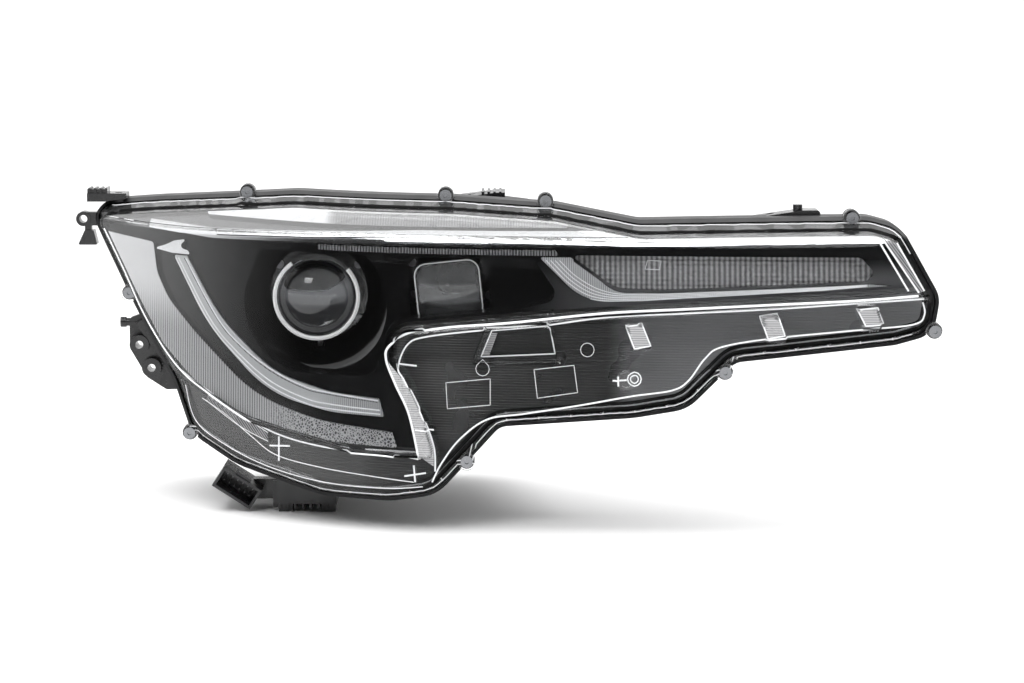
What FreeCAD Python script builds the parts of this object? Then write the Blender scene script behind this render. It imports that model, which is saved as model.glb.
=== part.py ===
"""Car headlight assembly, right-hand side, full LED, as a parametric FreeCAD document.

Row frame in millimetres: +X points to the inboard end, -Y to the front of the car, +Z up. The origin is
under the middle of the whole assembly, on the plane that its lowest piece stands on.
"""

import FreeCAD, Part

import math
import os
import re

import Sketcher

Vector = FreeCAD.Vector
Rotation = FreeCAD.Rotation

doc = FreeCAD.newDocument("headlight")
sheet = doc.addObject("Spreadsheet::Sheet", "Sizes")

# ----------------------------------------------------------------------------------------------------------
# Driving dimensions
# ----------------------------------------------------------------------------------------------------------
SIZES = [
    # front surface of the lamp
    ("face_lean", 10.0, "main face leans back, degrees"),
    ("top_slope", 18.0, "top face rises rearwards, degrees"),
    ("ridge_radius", 5.0, "rounding of the ridge between main and top face"),
    ("face_crown", 4.0, "bulge of the main face over its height"),
    # outer lens
    ("lens_wall", 4.0, "front wall, measured rearwards"),
    ("lens_side", 3.0, "side wall"),
    ("lens_drop", 2.5, "top wall, measured downwards"),
    ("lip_drop", 1.0, "the lip under the top face, measured downwards"),
    ("seal_drop", 1.8, "the seal under the top face"),
    ("floor_drop", 3.6, "the groove floor under the top face"),
    ("skirt_step", 12.0, "skirt lies this far behind the main face"),
    ("flange_front", 33.0, "front of the glued lip behind the main face"),
    ("flange_back", 36.0, "back of the glued lip"),
    ("lip_reach", 6.0, "lip stands out from the side wall"),
    ("tab_radius", 7.5, "screw tab"),
    ("screw_hole", 2.7, "hole radius in a screw tab"),
    ("screw_thread", 2.45, "hole radius in a screw boss"),
    # housing
    ("groove_front", 31.0, "front edge of the glue groove"),
    ("groove_floor", 38.5, "floor of the glue groove"),
    ("groove_back", 42.5, "back of the groove floor"),
    ("groove_reach", 9.0, "outer wall of the groove from the lens wall"),
    ("shell_wall", 3.0, "housing wall"),
    ("room_inset", 4.3, "inside of the housing, from the lens outline"),
    ("rear_wall", 134.0, "outside of the rear wall"),
    ("turn_rear", -40.0, "outside of the wall behind the turn signal"),
    # bezel
    ("bezel_front", 14.0, "front of the bezel behind the main face"),
    ("bezel_wall", 3.0, "bezel thickness"),
    ("bezel_drop", 4.0, "bezel lies this far under the top face"),
    ("bezel_gap", 6.0, "bezel edge inside the raised outline"),
    # low beam module
    ("low_x", -144.0, "low beam axis"),
    ("low_y", -18.0, "seat plane of the low beam lens"),
    ("low_z", 180.0, "low beam axis height"),
    ("low_lens_radius", 33.0, "edge radius of the low beam lens"),
    ("low_lens_rise", 20.0, "height of the lens dome"),
    ("low_dome_radius", 36.4, "radius of the lens dome"),
    ("barrel_radius", 36.0, "outside of the lens barrel"),
    ("barrel_wall", 2.7, "wall of the lens barrel"),
    ("barrel_length", 43.0, "barrel behind the lens seat"),
    ("ring_radius", 36.6, "outside of the bright ring"),
    ("ring_gap", 84.0, "angle left open at the top of the ring"),
    ("bowl_radius", 41.5, "hole of the shroud round the barrel"),
    ("ring_start", -42.0, "where the bright ring starts, degrees"),
    ("heat_base", 66.0, "front of the heat sink's base"),
    ("shutter_y", 12.75, "hinge pin of the cut-off shutter"),
    ("shutter_drop", 26.0, "hinge pin under the low beam axis"),
    ("lever_drop", 45.0, "solenoid axis under the low beam axis"),
    ("solenoid_front", 26.0, "front of the solenoid"),
    ("fan_front", 93.0, "front of the fan frame"),
    ("fan_shaft", 1.5, "shaft radius of the fan"),
    # high beam module
    ("high_x", -32.0, "high beam axis"),
    ("high_y", -67.0, "seat plane of the high beam lens"),
    ("high_z", 191.0, "high beam axis height"),
    ("high_width", 50.0, "high beam lens"),
    ("high_height", 46.0, "high beam lens"),
    ("high_roll", 6.0, "high beam module is rolled, degrees"),
    ("shroud_reach", 10.2, "shroud tube stands out from the high beam lens"),
    # carrier and aiming
    ("plate_front", 20.0, "front of the carrier plate"),
    ("plate_wall", 4.0, "carrier plate"),
    ("pivot_y", 31.0, "centre plane of the three ball joints"),
    ("pivot_z", 226.0, "height of the aiming axis"),
    ("pivot_left", -205.0, "outboard pivot"),
    ("pivot_right", 8.0, "inboard pivot"),
    ("push_x", -40.0, "levelling rod axis"),
    ("push_z", 128.0, "levelling rod height"),
    ("push_rod", 3.2, "radius of the levelling rod"),
    ("motor_front", 82.0, "front of the levelling motor"),
    ("ball_radius", 5.0, "ball of each stud"),
    ("ball_play", 0.25, "play between ball and cup"),
    # rear cover, socket, fan
    ("cover_x", -144.0, "access cover axis"),
    ("cover_z", 158.0, "access cover axis height"),
    ("cover_radius", 46.0, "outside of the access cover"),
    ("turn_x", 190.0, "turn signal socket axis"),
    ("turn_z", 209.0, "turn signal socket height"),
    ("socket_radius", 14.0, "hole for the turn signal socket"),
    ("fan_radius", 25.5, "tip radius of the fan"),
    ("fan_blades", 7, "number of fan blades"),
    ("fin_count", 9, "fins on the low beam heat sink"),
    # control unit and connector
    ("driver_left", -178.0, "outboard side of the control unit"),
    ("driver_front", -46.0, "front of the control unit"),
    ("driver_length", 50.0, "control unit along X"),
    ("driver_depth", 100.0, "control unit along Y"),
    ("driver_top", 31.8, "top of the control unit, on the housing"),
    ("connector_roll", 33.0, "the plug socket is rolled, degrees"),
    ("foot_height", 3.0, "feet under the control unit"),
    ("adjuster_radius", 3.0, "shaft of the manual adjuster"),
    ("adjuster_z", 112.0, "height of the manual adjuster"),
    ("bolt_radius", 3.5, "bolt clearance radius in the brackets"),
]
SIZE_NAMES = {name for name, value, note in SIZES}
for row, (name, value, note) in enumerate(SIZES, start=1):
    sheet.set(f"A{row}", note)
    sheet.set(f"B{row}", str(value))
    sheet.setAlias(f"B{row}", name)
doc.recompute()


def size(name):
    """Value of one driving dimension."""
    return float(sheet.get(name))


def full(text):
    """An expression on size names, written the way the document wants it."""
    return re.sub(r"[a-z_]+", lambda m: "Sizes." + m[0] if m[0] in SIZE_NAMES else m[0], str(text))


def number(text):
    """Present value of an expression on size names."""
    value = doc.Sizes.evalExpression(full(text))
    return float(getattr(value, "Value", value))


def bind(obj, prop, text):
    """Ties a property to the spreadsheet."""
    obj.setExpression(prop, full(text))

# ----------------------------------------------------------------------------------------------------------
# Outlines, seen from the front: (x, z, corner radius)
# ----------------------------------------------------------------------------------------------------------
LENS_OUTLINE = [
    (-345, 238, 6), (-290, 244, 60), (-165, 255, 150), (-30, 255, 150), (55, 251, 60), (124, 240.5, 50),
    (312, 244, 30), (330, 240, 12), (357, 191, 12), (353, 170, 12), (328, 163, 30), (197, 148, 24),
    (158, 110, 26), (118, 103, 60), (6, 94, 24), (-46, 37, 26), (-80, 31, 40), (-136, 31, 70),
    (-210, 48, 60), (-247, 66, 20), (-263, 106, 30), (-303, 168, 90),
]
# the raised part of the lens; it runs out over the lens outline on all sides but the lower one
PLATEAU_OUTLINE = [
    (420, 201, 0), (43, 175, 200), (-86, 161, 16), (-51, 93, 60), (-43, 63, 5), (-108, 63, 90),
    (-206, 82, 100), (-268, 115, 60), (-335, 196, 0), (-420, 300, 0), (420, 300, 0),
]
MARKER_OUTLINE = [
    (-343, 226, 3), (-303, 160, 140), (-240, 101, 160), (-190, 79, 150), (-140, 71, 150), (-73, 69, 1.5),
    (-77, 81, 1.5), (-140, 87, 150), (-194, 102, 150), (-248, 149, 140), (-273, 174, 60), (-284, 195, 30),
    (-288, 220, 3),
]
DRL_OUTLINE = [
    (-268, 211, 1), (-237, 156, 160), (-182, 105, 100), (-128, 94, 120), (-84, 93, 1),
    (-88, 107, 1), (-130, 110, 120), (-178, 122, 90), (-226, 163, 140), (-256, 211, 1),
]
DRL_CAP_OUTLINE = [
    (-287, 215, 0.8), (-270, 212.5, 4), (-253, 212.5, 1), (-255, 215.5, 1), (-264, 218, 3), (-257, 225, 0.8),
    (-268, 223, 5), (-276, 219, 3),
]
GUIDE_OUTLINE = [
    (42.5, 223.5, 1), (79, 188, 48), (349, 201, 1), (306, 204.4, 1), (104, 195.5, 30), (68, 223.5, 1),
]
GUIDE_BOARD_OUTLINE = [(44, 222, 1), (60, 222, 1), (66, 212, 1), (54, 208, 1)]
TURN_OUTLINE = [(67, 225, 2), (301, 225, 5), (312, 213, 4), (306, 206, 3), (140, 198, 60), (104, 199, 25)]
BAY_OUTLINE = [
    (-190, 221.6, 3), (-209, 176, 60), (-189, 136, 50), (-160, 124, 40), (-94, 124, 10), (-80, 156, 14),
    (60, 190, 8), (38, 221.6, 3),
]
RIBBED_OUTLINE = [(-140, 224.7, 1), (58, 224.7, 1), (55, 229, 1), (-140, 229, 1)]
RIDGE_OUTLINE = [
    (-292, 233, 1), (-233, 228.5, 60), (-57, 233, 60), (120, 233.5, 60), (325, 237.5, 1), (327, 243, 1),
    (-57, 241, 60), (-233, 234.5, 60), (-292, 237, 1),
]
GARNISH_OUTLINE = [
    (-246, 243, 2), (-120, 242.6, 60), (70, 243.5, 3), (60, 251, 10), (-20, 256, 60), (-225, 256, 4),
]
POCKET_OUTLINE = [(0, 169, 2), (49, 170, 2), (60, 141, 2), (-12, 139, 2)]
SKIRT_CLIPS = [(112, 162), (220, 169), (296, 179)]
# screw tabs: centre of the tab, and the way from it to the lens wall
SCREW_TABS = [
    (-210, 261, 0, -4), (-36, 265, 0, -4), (48, 262, 0, -4), (299, 252.5, 0, -4), (362, 165, -4, 2),
    (193, 131, -3, 4), (-17, 56, -3, 4), (-256, 60, 3, 3), (-315, 172, 4, 0),
]

# plan (x, y) and side (y, z) outlines of the housing behind the glue groove
HOUSING_PLAN = [
    (-380, 148), (-342, 148), (-305, 134), (8, 134), (34, 112), (64, -20), (90, -40), (335, -40), (372, -70),
    (372, -190), (-380, -190),
]
HOUSING_SIDE = [(-190, -10), (-20, 22), (60, 30), (180, 58), (180, 246), (60, 262), (-190, 262)]

# (x, z) of the vents in the back and of the bolts in the side bracket, and (x, y, z) of the plug socket
VENTS = [(-250, 205), (-70, 215)]
SIDE_BOLTS = [(-308.5, 124.4), (-298, 103.8)]
CONNECTOR = (-212, -46, 20.5)

# ridge line of the front surface: x, depth, height
RIDGE_STATIONS = [
    (-380, 120, 240), (-310, 53, 237), (-260, 8, 236), (-180, -50, 238), (-80, -98, 240), (20, -118, 240),
    (120, -129, 238.5), (270, -140, 239), (400, -145, 239.5),
]


# ----------------------------------------------------------------------------------------------------------
# Geometry helpers
# ----------------------------------------------------------------------------------------------------------
def grown(outline, reach):
    """The outline moved outwards by reach; round corners keep their centres."""
    count = len(outline)
    area = sum(outline[i - 1][0] * outline[i][1] - outline[i][0] * outline[i - 1][1] for i in range(count))
    turn = math.copysign(1, area)
    result = []
    for i, (x, z, radius) in enumerate(outline):
        before, after = outline[i - 1], outline[(i + 1) % count]
        a = Vector(x - before[0], z - before[1]).normalize()
        b = Vector(after[0] - x, after[1] - z).normalize()
        cross = a.x * b.y - a.y * b.x
        normal_a, normal_b = Vector(a.y, -a.x) * turn, Vector(b.y, -b.x) * turn
        shift = (normal_a + normal_b) * (reach / (1 + normal_a.dot(normal_b)))
        corner = math.copysign(1, cross) * turn
        new_radius = max(0.0, radius + corner * reach) if radius else 0.0
        result.append((x + shift.x, z + shift.y, new_radius))
    return result


def rounded_wire(outline, to_space):
    """Closed wire of straight runs and tangent arcs; to_space turns (a, b) into a point."""
    count = len(outline)
    points = [Vector(a, b) for a, b, radius in outline]
    corners = []
    for i, (a, b, radius) in enumerate(outline):
        here, before, after = points[i], points[i - 1], points[(i + 1) % count]
        back, ahead = (before - here), (after - here)
        angle = back.getAngle(ahead)
        reach = radius / math.tan(angle / 2) if radius else 0.0
        room = 0.49 * min(back.Length, ahead.Length)
        reach = min(reach, room)
        back, ahead = Vector(back).normalize(), Vector(ahead).normalize()
        if reach < 1e-6:
            corners.append((here, None, here))
            continue
        start, end = here + back * reach, here + ahead * reach
        true_radius = reach * math.tan(angle / 2)
        middle_way = Vector(back + ahead).normalize()
        centre = here + middle_way * (true_radius / math.sin(angle / 2))
        corners.append((start, centre - middle_way * true_radius, end))
    edges = []
    for i, (start, middle, end) in enumerate(corners):
        if middle is not None:
            edges.append(Part.Arc(to_space(start), to_space(middle), to_space(end)).toShape())
        following = corners[(i + 1) % count][0]
        if (following - end).Length > 1e-6:
            edges.append(Part.makeLine(to_space(end), to_space(following)))
    return Part.Wire(edges)


def prism(outline, reach=0.0, front=-260.0, back=300.0):
    """Solid behind a front-view outline."""
    wire = rounded_wire(grown(outline, reach) if reach else outline, lambda p: Vector(p.x, front, p.y))
    return Part.Face(wire).extrude(Vector(0, back - front, 0))


def plan_prism(points, reach=0.0):
    """Solid over a plan outline of (x, y) points."""
    outline = grown([(x, y, 0) for x, y in points], reach)
    wire = rounded_wire(outline, lambda p: Vector(p.x, p.y, -60))
    return Part.Face(wire).extrude(Vector(0, 0, 400))


def side_prism(points, reach=0.0):
    """Solid across a side outline of (y, z) points."""
    outline = grown([(y, z, 0) for y, z in points], reach)
    wire = rounded_wire(outline, lambda p: Vector(-420, p.x, p.y))
    return Part.Face(wire).extrude(Vector(860, 0, 0))


def common(first, *others):
    for other in others:
        first = first.common(other)
    return first


def box(x0, x1, y0, y1, z0, z1):
    return Part.makeBox(x1 - x0, y1 - y0, z1 - z0, Vector(x0, y0, z0))


def cylinder(radius, start, end):
    """Solid cylinder between two points."""
    axis = Vector(*end) - Vector(*start)
    return Part.makeCylinder(radius, axis.Length, Vector(*start), axis)


def master_profile(x, depth, height):
    """Side section of the front surface at one station, closed far behind it."""
    radius = size("ridge_radius")
    bulge = size("face_crown")
    lean, slope = math.radians(size("face_lean") + bulge), math.radians(size("top_slope"))
    corner = Vector(x, depth, height)
    down = Vector(0, -math.sin(lean), -math.cos(lean))
    back = Vector(0, math.cos(slope), math.sin(slope))
    turn = math.pi / 2 - slope - lean
    reach = radius * math.tan(turn / 2)
    face_top, top_front = corner + down * reach, corner + back * reach
    middle_way = Vector(down + back).normalize()
    ridge = corner + middle_way * (radius / math.cos(turn / 2) - radius)
    chord = (face_top.z + 30) / math.cos(math.radians(size("face_lean")))
    lean = math.radians(size("face_lean"))
    chord_way = Vector(0, -math.sin(lean), -math.cos(lean))
    foot = face_top + chord_way * chord
    forward = Vector(0, chord_way.z, -chord_way.y)
    middle = face_top + chord_way * (chord / 2) + forward * (chord / 2 * math.tan(math.radians(bulge) / 2))
    top_back = top_front + back * 420
    edges = [
        Part.Arc(foot, middle, face_top).toShape(),
        Part.Arc(face_top, ridge, top_front).toShape(),
        Part.makeLine(top_front, top_back),
        Part.makeLine(top_back, Vector(x, top_back.y, foot.z)),
        Part.makeLine(Vector(x, top_back.y, foot.z), foot),
    ]
    return Part.Wire(edges)


master = Part.makeLoft([master_profile(*station) for station in RIDGE_STATIONS], True, False)


def behind(offset, drop=0.0):
    """Everything behind the front surface moved rearwards by offset and down by drop."""
    return master.translated(Vector(0, offset, -drop))


def plate(region, front, back, front_drop=0.0, back_drop=None):
    """The part of a region between two offsets of the front surface."""
    if back_drop is None:
        back_drop = front_drop
    return region.common(behind(front, front_drop)).cut(behind(back, back_drop))


def depth_at(x, z, offset=0.0):
    """Y of the front surface at one place of the front view."""
    line = Part.makeLine(Vector(x, -260, z), Vector(x, 260, z))
    return line.common(behind(offset)).BoundBox.YMin


NODES = []


def feature(label, shape):
    """A sub-part whose shape was made by functions."""
    obj = doc.addObject("Part::Feature", label)
    obj.Label = label
    obj.Shape = shape.removeSplitter()
    NODES.append(obj)
    return obj


def group(label, solids):
    """A sub-part of several like solids."""
    obj = doc.addObject("Part::Feature", label)
    obj.Label = label
    obj.Shape = Part.makeCompound(solids)
    NODES.append(obj)


# ----------------------------------------------------------------------------------------------------------
# Outer lens, seal, housing
# ----------------------------------------------------------------------------------------------------------
def screw_tabs():
    """Front centre of each screw tab on the glued lip."""
    front = size("flange_front")
    return [Vector(x, depth_at(x + dx, z + dz, front), z) for x, z, dx, dz in SCREW_TABS]


def tab_cylinders(radius, start, end):
    """One cylinder per screw tab, from start to end behind the front of the tab."""
    return [cylinder(radius, (c.x, c.y + start, c.z), (c.x, c.y + end, c.z)) for c in TABS]


def lens_shape():
    wall, side, drop = size("lens_wall"), size("lens_side"), size("lens_drop")
    step, lip_back = size("skirt_step"), size("flange_back")
    whole, inside = prism(LENS_OUTLINE), prism(LENS_OUTLINE, -side)
    skirt = whole.common(behind(step))
    plateau = common(whole, prism(PLATEAU_OUTLINE)).common(behind(0))
    lip = prism(LENS_OUTLINE, size("lip_reach")).common(behind(size("flange_front")))
    skirt_room = inside.common(behind(step + wall, drop))
    plateau_room = common(inside, prism(PLATEAU_OUTLINE, -side)).common(behind(wall, drop))
    outside = skirt.multiFuse([plateau, lip])
    return outside.cut([skirt_room.fuse(plateau_room), behind(lip_back, size("lip_drop"))])


def clip_outlines():
    """Outline and recess of each clip on the lower skirt."""
    for x, z in SKIRT_CLIPS:
        tab = [(x, z + 10, 2), (x + 17, z + 10, 2), (x + 20, z - 9, 2), (x + 4, z - 9, 2)]
        recess = [(x - 9, z + 8, 1), (x + 12, z + 8, 1), (x + 15, z - 7, 1), (x - 8, z - 7, 1)]
        yield tab, recess


def lens_with_details(lens):
    """Pocket, clips and boss on the lower skirt, and the screw tabs."""
    step = size("skirt_step")
    boss_y = depth_at(112, 127, step)
    added = [plate(prism(POCKET_OUTLINE, 2.5), step, 30)]
    added += [plate(prism(tab), 3, step + 2) for tab, recess in clip_outlines()]
    added += [cylinder(8, (112, boss_y - 2, 127), (112, boss_y + 2, 127))]
    added += tab_cylinders(size("tab_radius"), 0, 3)
    removed = [prism(POCKET_OUTLINE).cut(behind(27))]
    removed += [plate(prism(recess), 5, step) for tab, recess in clip_outlines()]
    removed += [cylinder(5.5, (112, boss_y - 3, 127), (112, boss_y, 127))]
    removed += tab_cylinders(size("screw_hole"), -1, 5) + tab_cylinders(5.3, -8, 0)
    return lens.multiFuse(added).cut(removed)


def seal_shape():
    strip = prism(LENS_OUTLINE, 5.5).cut(prism(LENS_OUTLINE, -2.5))
    strip = plate(strip, size("flange_back"), size("groove_floor"), size("lip_drop"), size("seal_drop"))
    return strip.cut(tab_cylinders(size("tab_radius") + 0.2, -0.2, 16))


def twist_notches(x, z, y0, y1, radius, width, count, turn):
    """Slots in a wall that let the lugs of a twist-in cover pass."""
    notches = []
    for i in range(count):
        angle = math.radians(turn + 360 / count * i)
        notch = Part.makeBox(radius, y1 - y0, width, Vector(0, y0, -width / 2))
        notch.rotate(Vector(), Vector(0, 1, 0), math.degrees(angle))
        notches.append(notch.translated(Vector(x, 0, z)))
    return notches


def housing_shape():
    wall, reach = size("shell_wall"), size("groove_reach")
    floor_front = behind(size("groove_floor"), size("seal_drop"))
    floor_back = behind(size("groove_back"), size("floor_drop"))
    ring = prism(LENS_OUTLINE, reach).common(behind(size("groove_front"))).cut(floor_back)
    shell = common(prism(LENS_OUTLINE, -1), floor_front, plan_prism(HOUSING_PLAN), side_prism(HOUSING_SIDE))
    room = common(prism(LENS_OUTLINE, -size("room_inset")), plan_prism(HOUSING_PLAN, -wall))
    room = room.common(side_prism(HOUSING_SIDE, -wall))
    groove = prism(LENS_OUTLINE, reach - 2.6).cut(floor_front)
    rear, turn_rear = size("rear_wall"), size("turn_rear")
    studs = [(size("pivot_left"), size("pivot_z")), (size("pivot_right"), size("pivot_z"))]
    posts = [cylinder(8, (x, 62, z), (x, rear - 1, z)) for x, z in studs]
    push_x = size("push_x")
    bosses = tab_cylinders(6.5, 3.2, 15)
    cover_x, cover_z, cover_hole = size("cover_x"), size("cover_z"), size("cover_radius") - 5
    turn_x, turn_z, socket = size("turn_x"), size("turn_z"), size("socket_radius")
    holes = [
        cylinder(cover_hole, (cover_x, rear - 8, cover_z), (cover_x, rear + 5, cover_z)),
        cylinder(socket, (turn_x, turn_rear - 8, turn_z), (turn_x, turn_rear + 5, turn_z)),
        cylinder(size("adjuster_radius") + 0.3, (push_x, rear - 8, size("adjuster_z")),
                 (push_x, rear + 5, size("adjuster_z"))),
    ]
    holes += twist_notches(cover_x, cover_z, rear - 8, rear + 5, size("cover_radius") - 1.6, 21, 3, 40)
    holes += twist_notches(turn_x, turn_z, turn_rear - 8, turn_rear + 5, socket + 3, 8, 2, 45)
    holes += [cylinder(5, (x, rear - 8, z), (x, rear + 5, z)) for x, z in VENTS]
    holes += [cylinder(3, (x, 40, z), (x, 80, z)) for x, z in studs]
    holes += tab_cylinders(size("tab_radius") + 0.3, -12, 3.2)
    holes += tab_cylinders(size("screw_thread"), 3, 14)
    solid = ring.multiFuse([shell] + bosses).cut([groove, room])
    return solid.multiFuse(posts).cut(holes)


TABS = screw_tabs()
feature("outer_lens", lens_with_details(lens_shape()))
feature("lens_seal", seal_shape())
feature("rear_housing", housing_shape())


# ----------------------------------------------------------------------------------------------------------
# Trim, light guides and reflectors behind the outer lens
# ----------------------------------------------------------------------------------------------------------
def high_prism(reach, front, back):
    """Rounded block along the high beam axis, rolled with the module."""
    half_w, half_h = size("high_width") / 2 + reach, size("high_height") / 2 + reach
    corner = 8 + reach
    outline = [(-half_w, -half_h, corner), (half_w, -half_h, corner), (half_w, half_h, corner),
               (-half_w, half_h, corner)]
    block = prism(outline, 0, front, back)
    block.rotate(Vector(), Vector(0, 1, 0), -size("high_roll"))
    return block.translated(Vector(size("high_x"), 0, size("high_z")))


def cone_along_y(x, z, y0, radius0, y1, radius1):
    return Part.makeCone(radius0, radius1, y1 - y0, Vector(x, y0, z), Vector(0, 1, 0))


def bezel_shape():
    front, wall, drop = size("bezel_front"), size("bezel_wall"), size("bezel_drop")
    gap = size("bezel_gap")
    whole = common(prism(LENS_OUTLINE, -gap - 1), prism(PLATEAU_OUTLINE, -gap))
    inside = common(prism(LENS_OUTLINE, -gap - 3.5), prism(PLATEAU_OUTLINE, -gap - 2.5))
    skin = plate(whole, front, front + wall, drop, drop + 2)
    rim = plate(whole.cut(inside), front + 1, 45, drop + 0.5)
    bay_wall = plate(common(prism(BAY_OUTLINE, 2.4).cut(prism(BAY_OUTLINE)), whole), front + 1, 45.5)
    turn_wall = plate(prism(TURN_OUTLINE, 1.6).cut(prism(TURN_OUTLINE)), front + 1, 21.7)
    slots = [
        prism(DRL_OUTLINE, 0.4), prism(GUIDE_OUTLINE, 0.4), prism(RIBBED_OUTLINE, 0.3), prism(TURN_OUTLINE),
        prism(BAY_OUTLINE), common(prism(MARKER_OUTLINE, -3), prism(LENS_OUTLINE, -12)),
    ]
    module_room = high_prism(size("shroud_reach") + 0.4, -112, 0).common(behind(39))
    return skin.cut(slots).multiFuse([rim, bay_wall, turn_wall]).cut(module_room)


def shroud_shape():
    """Black wall behind the projectors, with the bowl round the low beam."""
    x, z, hole = size("low_x"), size("low_z"), size("bowl_radius")
    wall = plate(prism(BAY_OUTLINE, 2.2), 47, 50)
    bowl = cone_along_y(x, z, -90, 70.5, 6, hole + 2.5).common(behind(47)).common(prism(BAY_OUTLINE, 2.2))
    reach = size("shroud_reach")
    tube = common(high_prism(reach, -110, -40), behind(47))
    lever_notch = box(x - 5, x + 5, -4, 8, z - 54, z - 40)
    hollow = [cone_along_y(x, z, -91, 68, 7, hole), high_prism(reach - 2, -130, 10), lever_notch]
    return wall.multiFuse([bowl, tube]).cut(hollow)


def turn_reflector_shape():
    outer = plate(prism(TURN_OUTLINE, 3.4), 25.4, 80)
    inner = prism(TURN_OUTLINE, 1.6).cut(behind(77.5))
    bulb = cylinder(11, (size("turn_x"), -120, size("turn_z")), (size("turn_x"), -30, size("turn_z")))
    return outer.cut([inner, bulb])


feature("main_bezel", bezel_shape())
lower = prism(LENS_OUTLINE, -4.6).cut(prism(PLATEAU_OUTLINE, -5.5))
feature("lower_bezel", plate(lower, 32, 34.5, size("lens_drop")))
feature("projector_shroud", shroud_shape())
inside_lens = prism(LENS_OUTLINE, -4)
feature("ridge_trim", plate(common(prism(RIDGE_OUTLINE), inside_lens), 7, 11.5, 2.9, 3.8))
feature("top_garnish", plate(common(prism(GARNISH_OUTLINE), inside_lens), 9.5, 12.5, 2.9, 3.9))
feature("ribbed_trim", plate(prism(RIBBED_OUTLINE), 12, 16.5))
feature("drl_light_guide", plate(prism(DRL_OUTLINE), 12, 24))
feature("drl_reflector", plate(prism(DRL_OUTLINE, 2.5), 25, 27.5))
feature("drl_led_board", plate(prism(DRL_OUTLINE, -2), 28, 29.6))
feature("drl_end_cap", plate(prism(DRL_CAP_OUTLINE), 11, 13.6))
marker = common(prism(MARKER_OUTLINE), inside_lens, prism(PLATEAU_OUTLINE, -3.8))
feature("side_marker_lens", plate(marker, 10, 13.4))
marker_back = common(prism(MARKER_OUTLINE, -3.4), prism(LENS_OUTLINE, -12.4), prism(PLATEAU_OUTLINE, -9))
feature("side_marker_reflector", plate(marker_back, 20, 22.5))
guide_area = common(prism(GUIDE_OUTLINE), prism(PLATEAU_OUTLINE, -size("bezel_gap") - 2.9))
feature("inboard_light_guide", plate(guide_area.cut(prism(TURN_OUTLINE, 2)), 12, 20))
feature("inboard_led_board", plate(prism(GUIDE_BOARD_OUTLINE), 20.5, 22.1))
feature("turn_signal_lens", plate(prism(TURN_OUTLINE, 1.5), 22, 25))
feature("turn_signal_reflector", turn_reflector_shape())


# ----------------------------------------------------------------------------------------------------------
# Helpers for bodies with sketches
# ----------------------------------------------------------------------------------------------------------
def new_body(label, x="0", y="0", z="0", rotation=None):
    body = doc.addObject("PartDesign::Body", label)
    body.Label = label
    if rotation:
        body.Placement = FreeCAD.Placement(Vector(), rotation)
    for axis, text in zip("xyz", (x, y, z)):
        bind(body, f"Placement.Base.{axis}", text)
    NODES.append(body)
    return body


def new_sketch(body, role, offset="0"):
    """Sketch on an origin plane of its own body, moved along the plane's normal."""
    sketch = body.newObject("Sketcher::SketchObject", body.Label + "_sketch")
    plane = next(item for item in body.Origin.OriginFeatures if item.Role == role)
    sketch.AttachmentSupport = (plane, [""])
    sketch.MapMode = "FlatFace"
    if offset != "0":
        bind(sketch, "AttachmentOffset.Base.z", offset)
    return sketch


def fix_point(sketch, item, point, a, b):
    """Ties one point of the sketch to two expressions."""
    for kind, text, axis in (("DistanceX", a, -2), ("DistanceY", b, -1)):
        value = number(text)
        if abs(value) < 1e-9:
            sketch.addConstraint(Sketcher.Constraint("PointOnObject", item, point, axis))
        else:
            index = sketch.addConstraint(Sketcher.Constraint(kind, -1, 1, item, point, value))
            sketch.setExpression(f"Constraints[{index}]", full(text))


def draw_polygon(sketch, corners):
    """Closed outline through corners, each a pair of expressions."""
    places = [Vector(number(a), number(b)) for a, b in corners]
    count = len(corners)
    first = sketch.GeometryCount
    for i in range(count):
        sketch.addGeometry(Part.LineSegment(places[i], places[(i + 1) % count]))
    for i in range(count):
        sketch.addConstraint(Sketcher.Constraint("Coincident", first + (i - 1) % count, 2, first + i, 1))
    for i, (a, b) in enumerate(corners):
        fix_point(sketch, first + i, 1, a, b)


def draw_circle(sketch, a, b, radius):
    item = sketch.addGeometry(Part.Circle(Vector(number(a), number(b)), Vector(0, 0, 1), number(radius)))
    fix_point(sketch, item, 3, a, b)
    index = sketch.addConstraint(Sketcher.Constraint("Radius", item, number(radius)))
    sketch.setExpression(f"Constraints[{index}]", full(radius))


def draw_box(sketch, a0, a1, b0, b1):
    draw_polygon(sketch, [(a0, b0), (a1, b0), (a1, b1), (a0, b1)])


def pad(body, sketch, length, backwards=False):
    item = body.newObject("PartDesign::Pad", body.Label + "_pad")
    item.Profile = sketch
    item.Reversed = backwards
    bind(item, "Length", length)
    return item


def pocket(body, sketch, length, backwards=False):
    item = body.newObject("PartDesign::Pocket", body.Label + "_pocket")
    item.Profile = sketch
    item.Reversed = backwards
    bind(item, "Length", length)
    return item


def turned(label, x, z, profile, angle="360", rotation=None):
    """Body of revolution about an axis along Y; the profile is (radius, y)."""
    body = new_body(label, x, "0", z, rotation)
    sketch = new_sketch(body, "XY_Plane")
    draw_polygon(sketch, profile)
    item = body.newObject("PartDesign::Revolution", label + "_turn")
    item.Profile = sketch
    item.ReferenceAxis = (sketch, ["V_Axis"])
    bind(item, "Angle", angle)
    return body


def row_of(body, sketch, features, spacing, count):
    """Repeats features along the sketch's horizontal axis."""
    item = body.newObject("PartDesign::LinearPattern", body.Label + "_row")
    item.Originals = features
    item.Direction = (sketch, ["H_Axis"])
    bind(item, "Length", f"({spacing}) * ({count} - 1)")
    bind(item, "Occurrences", count)
    body.Tip = item
    return item


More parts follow.
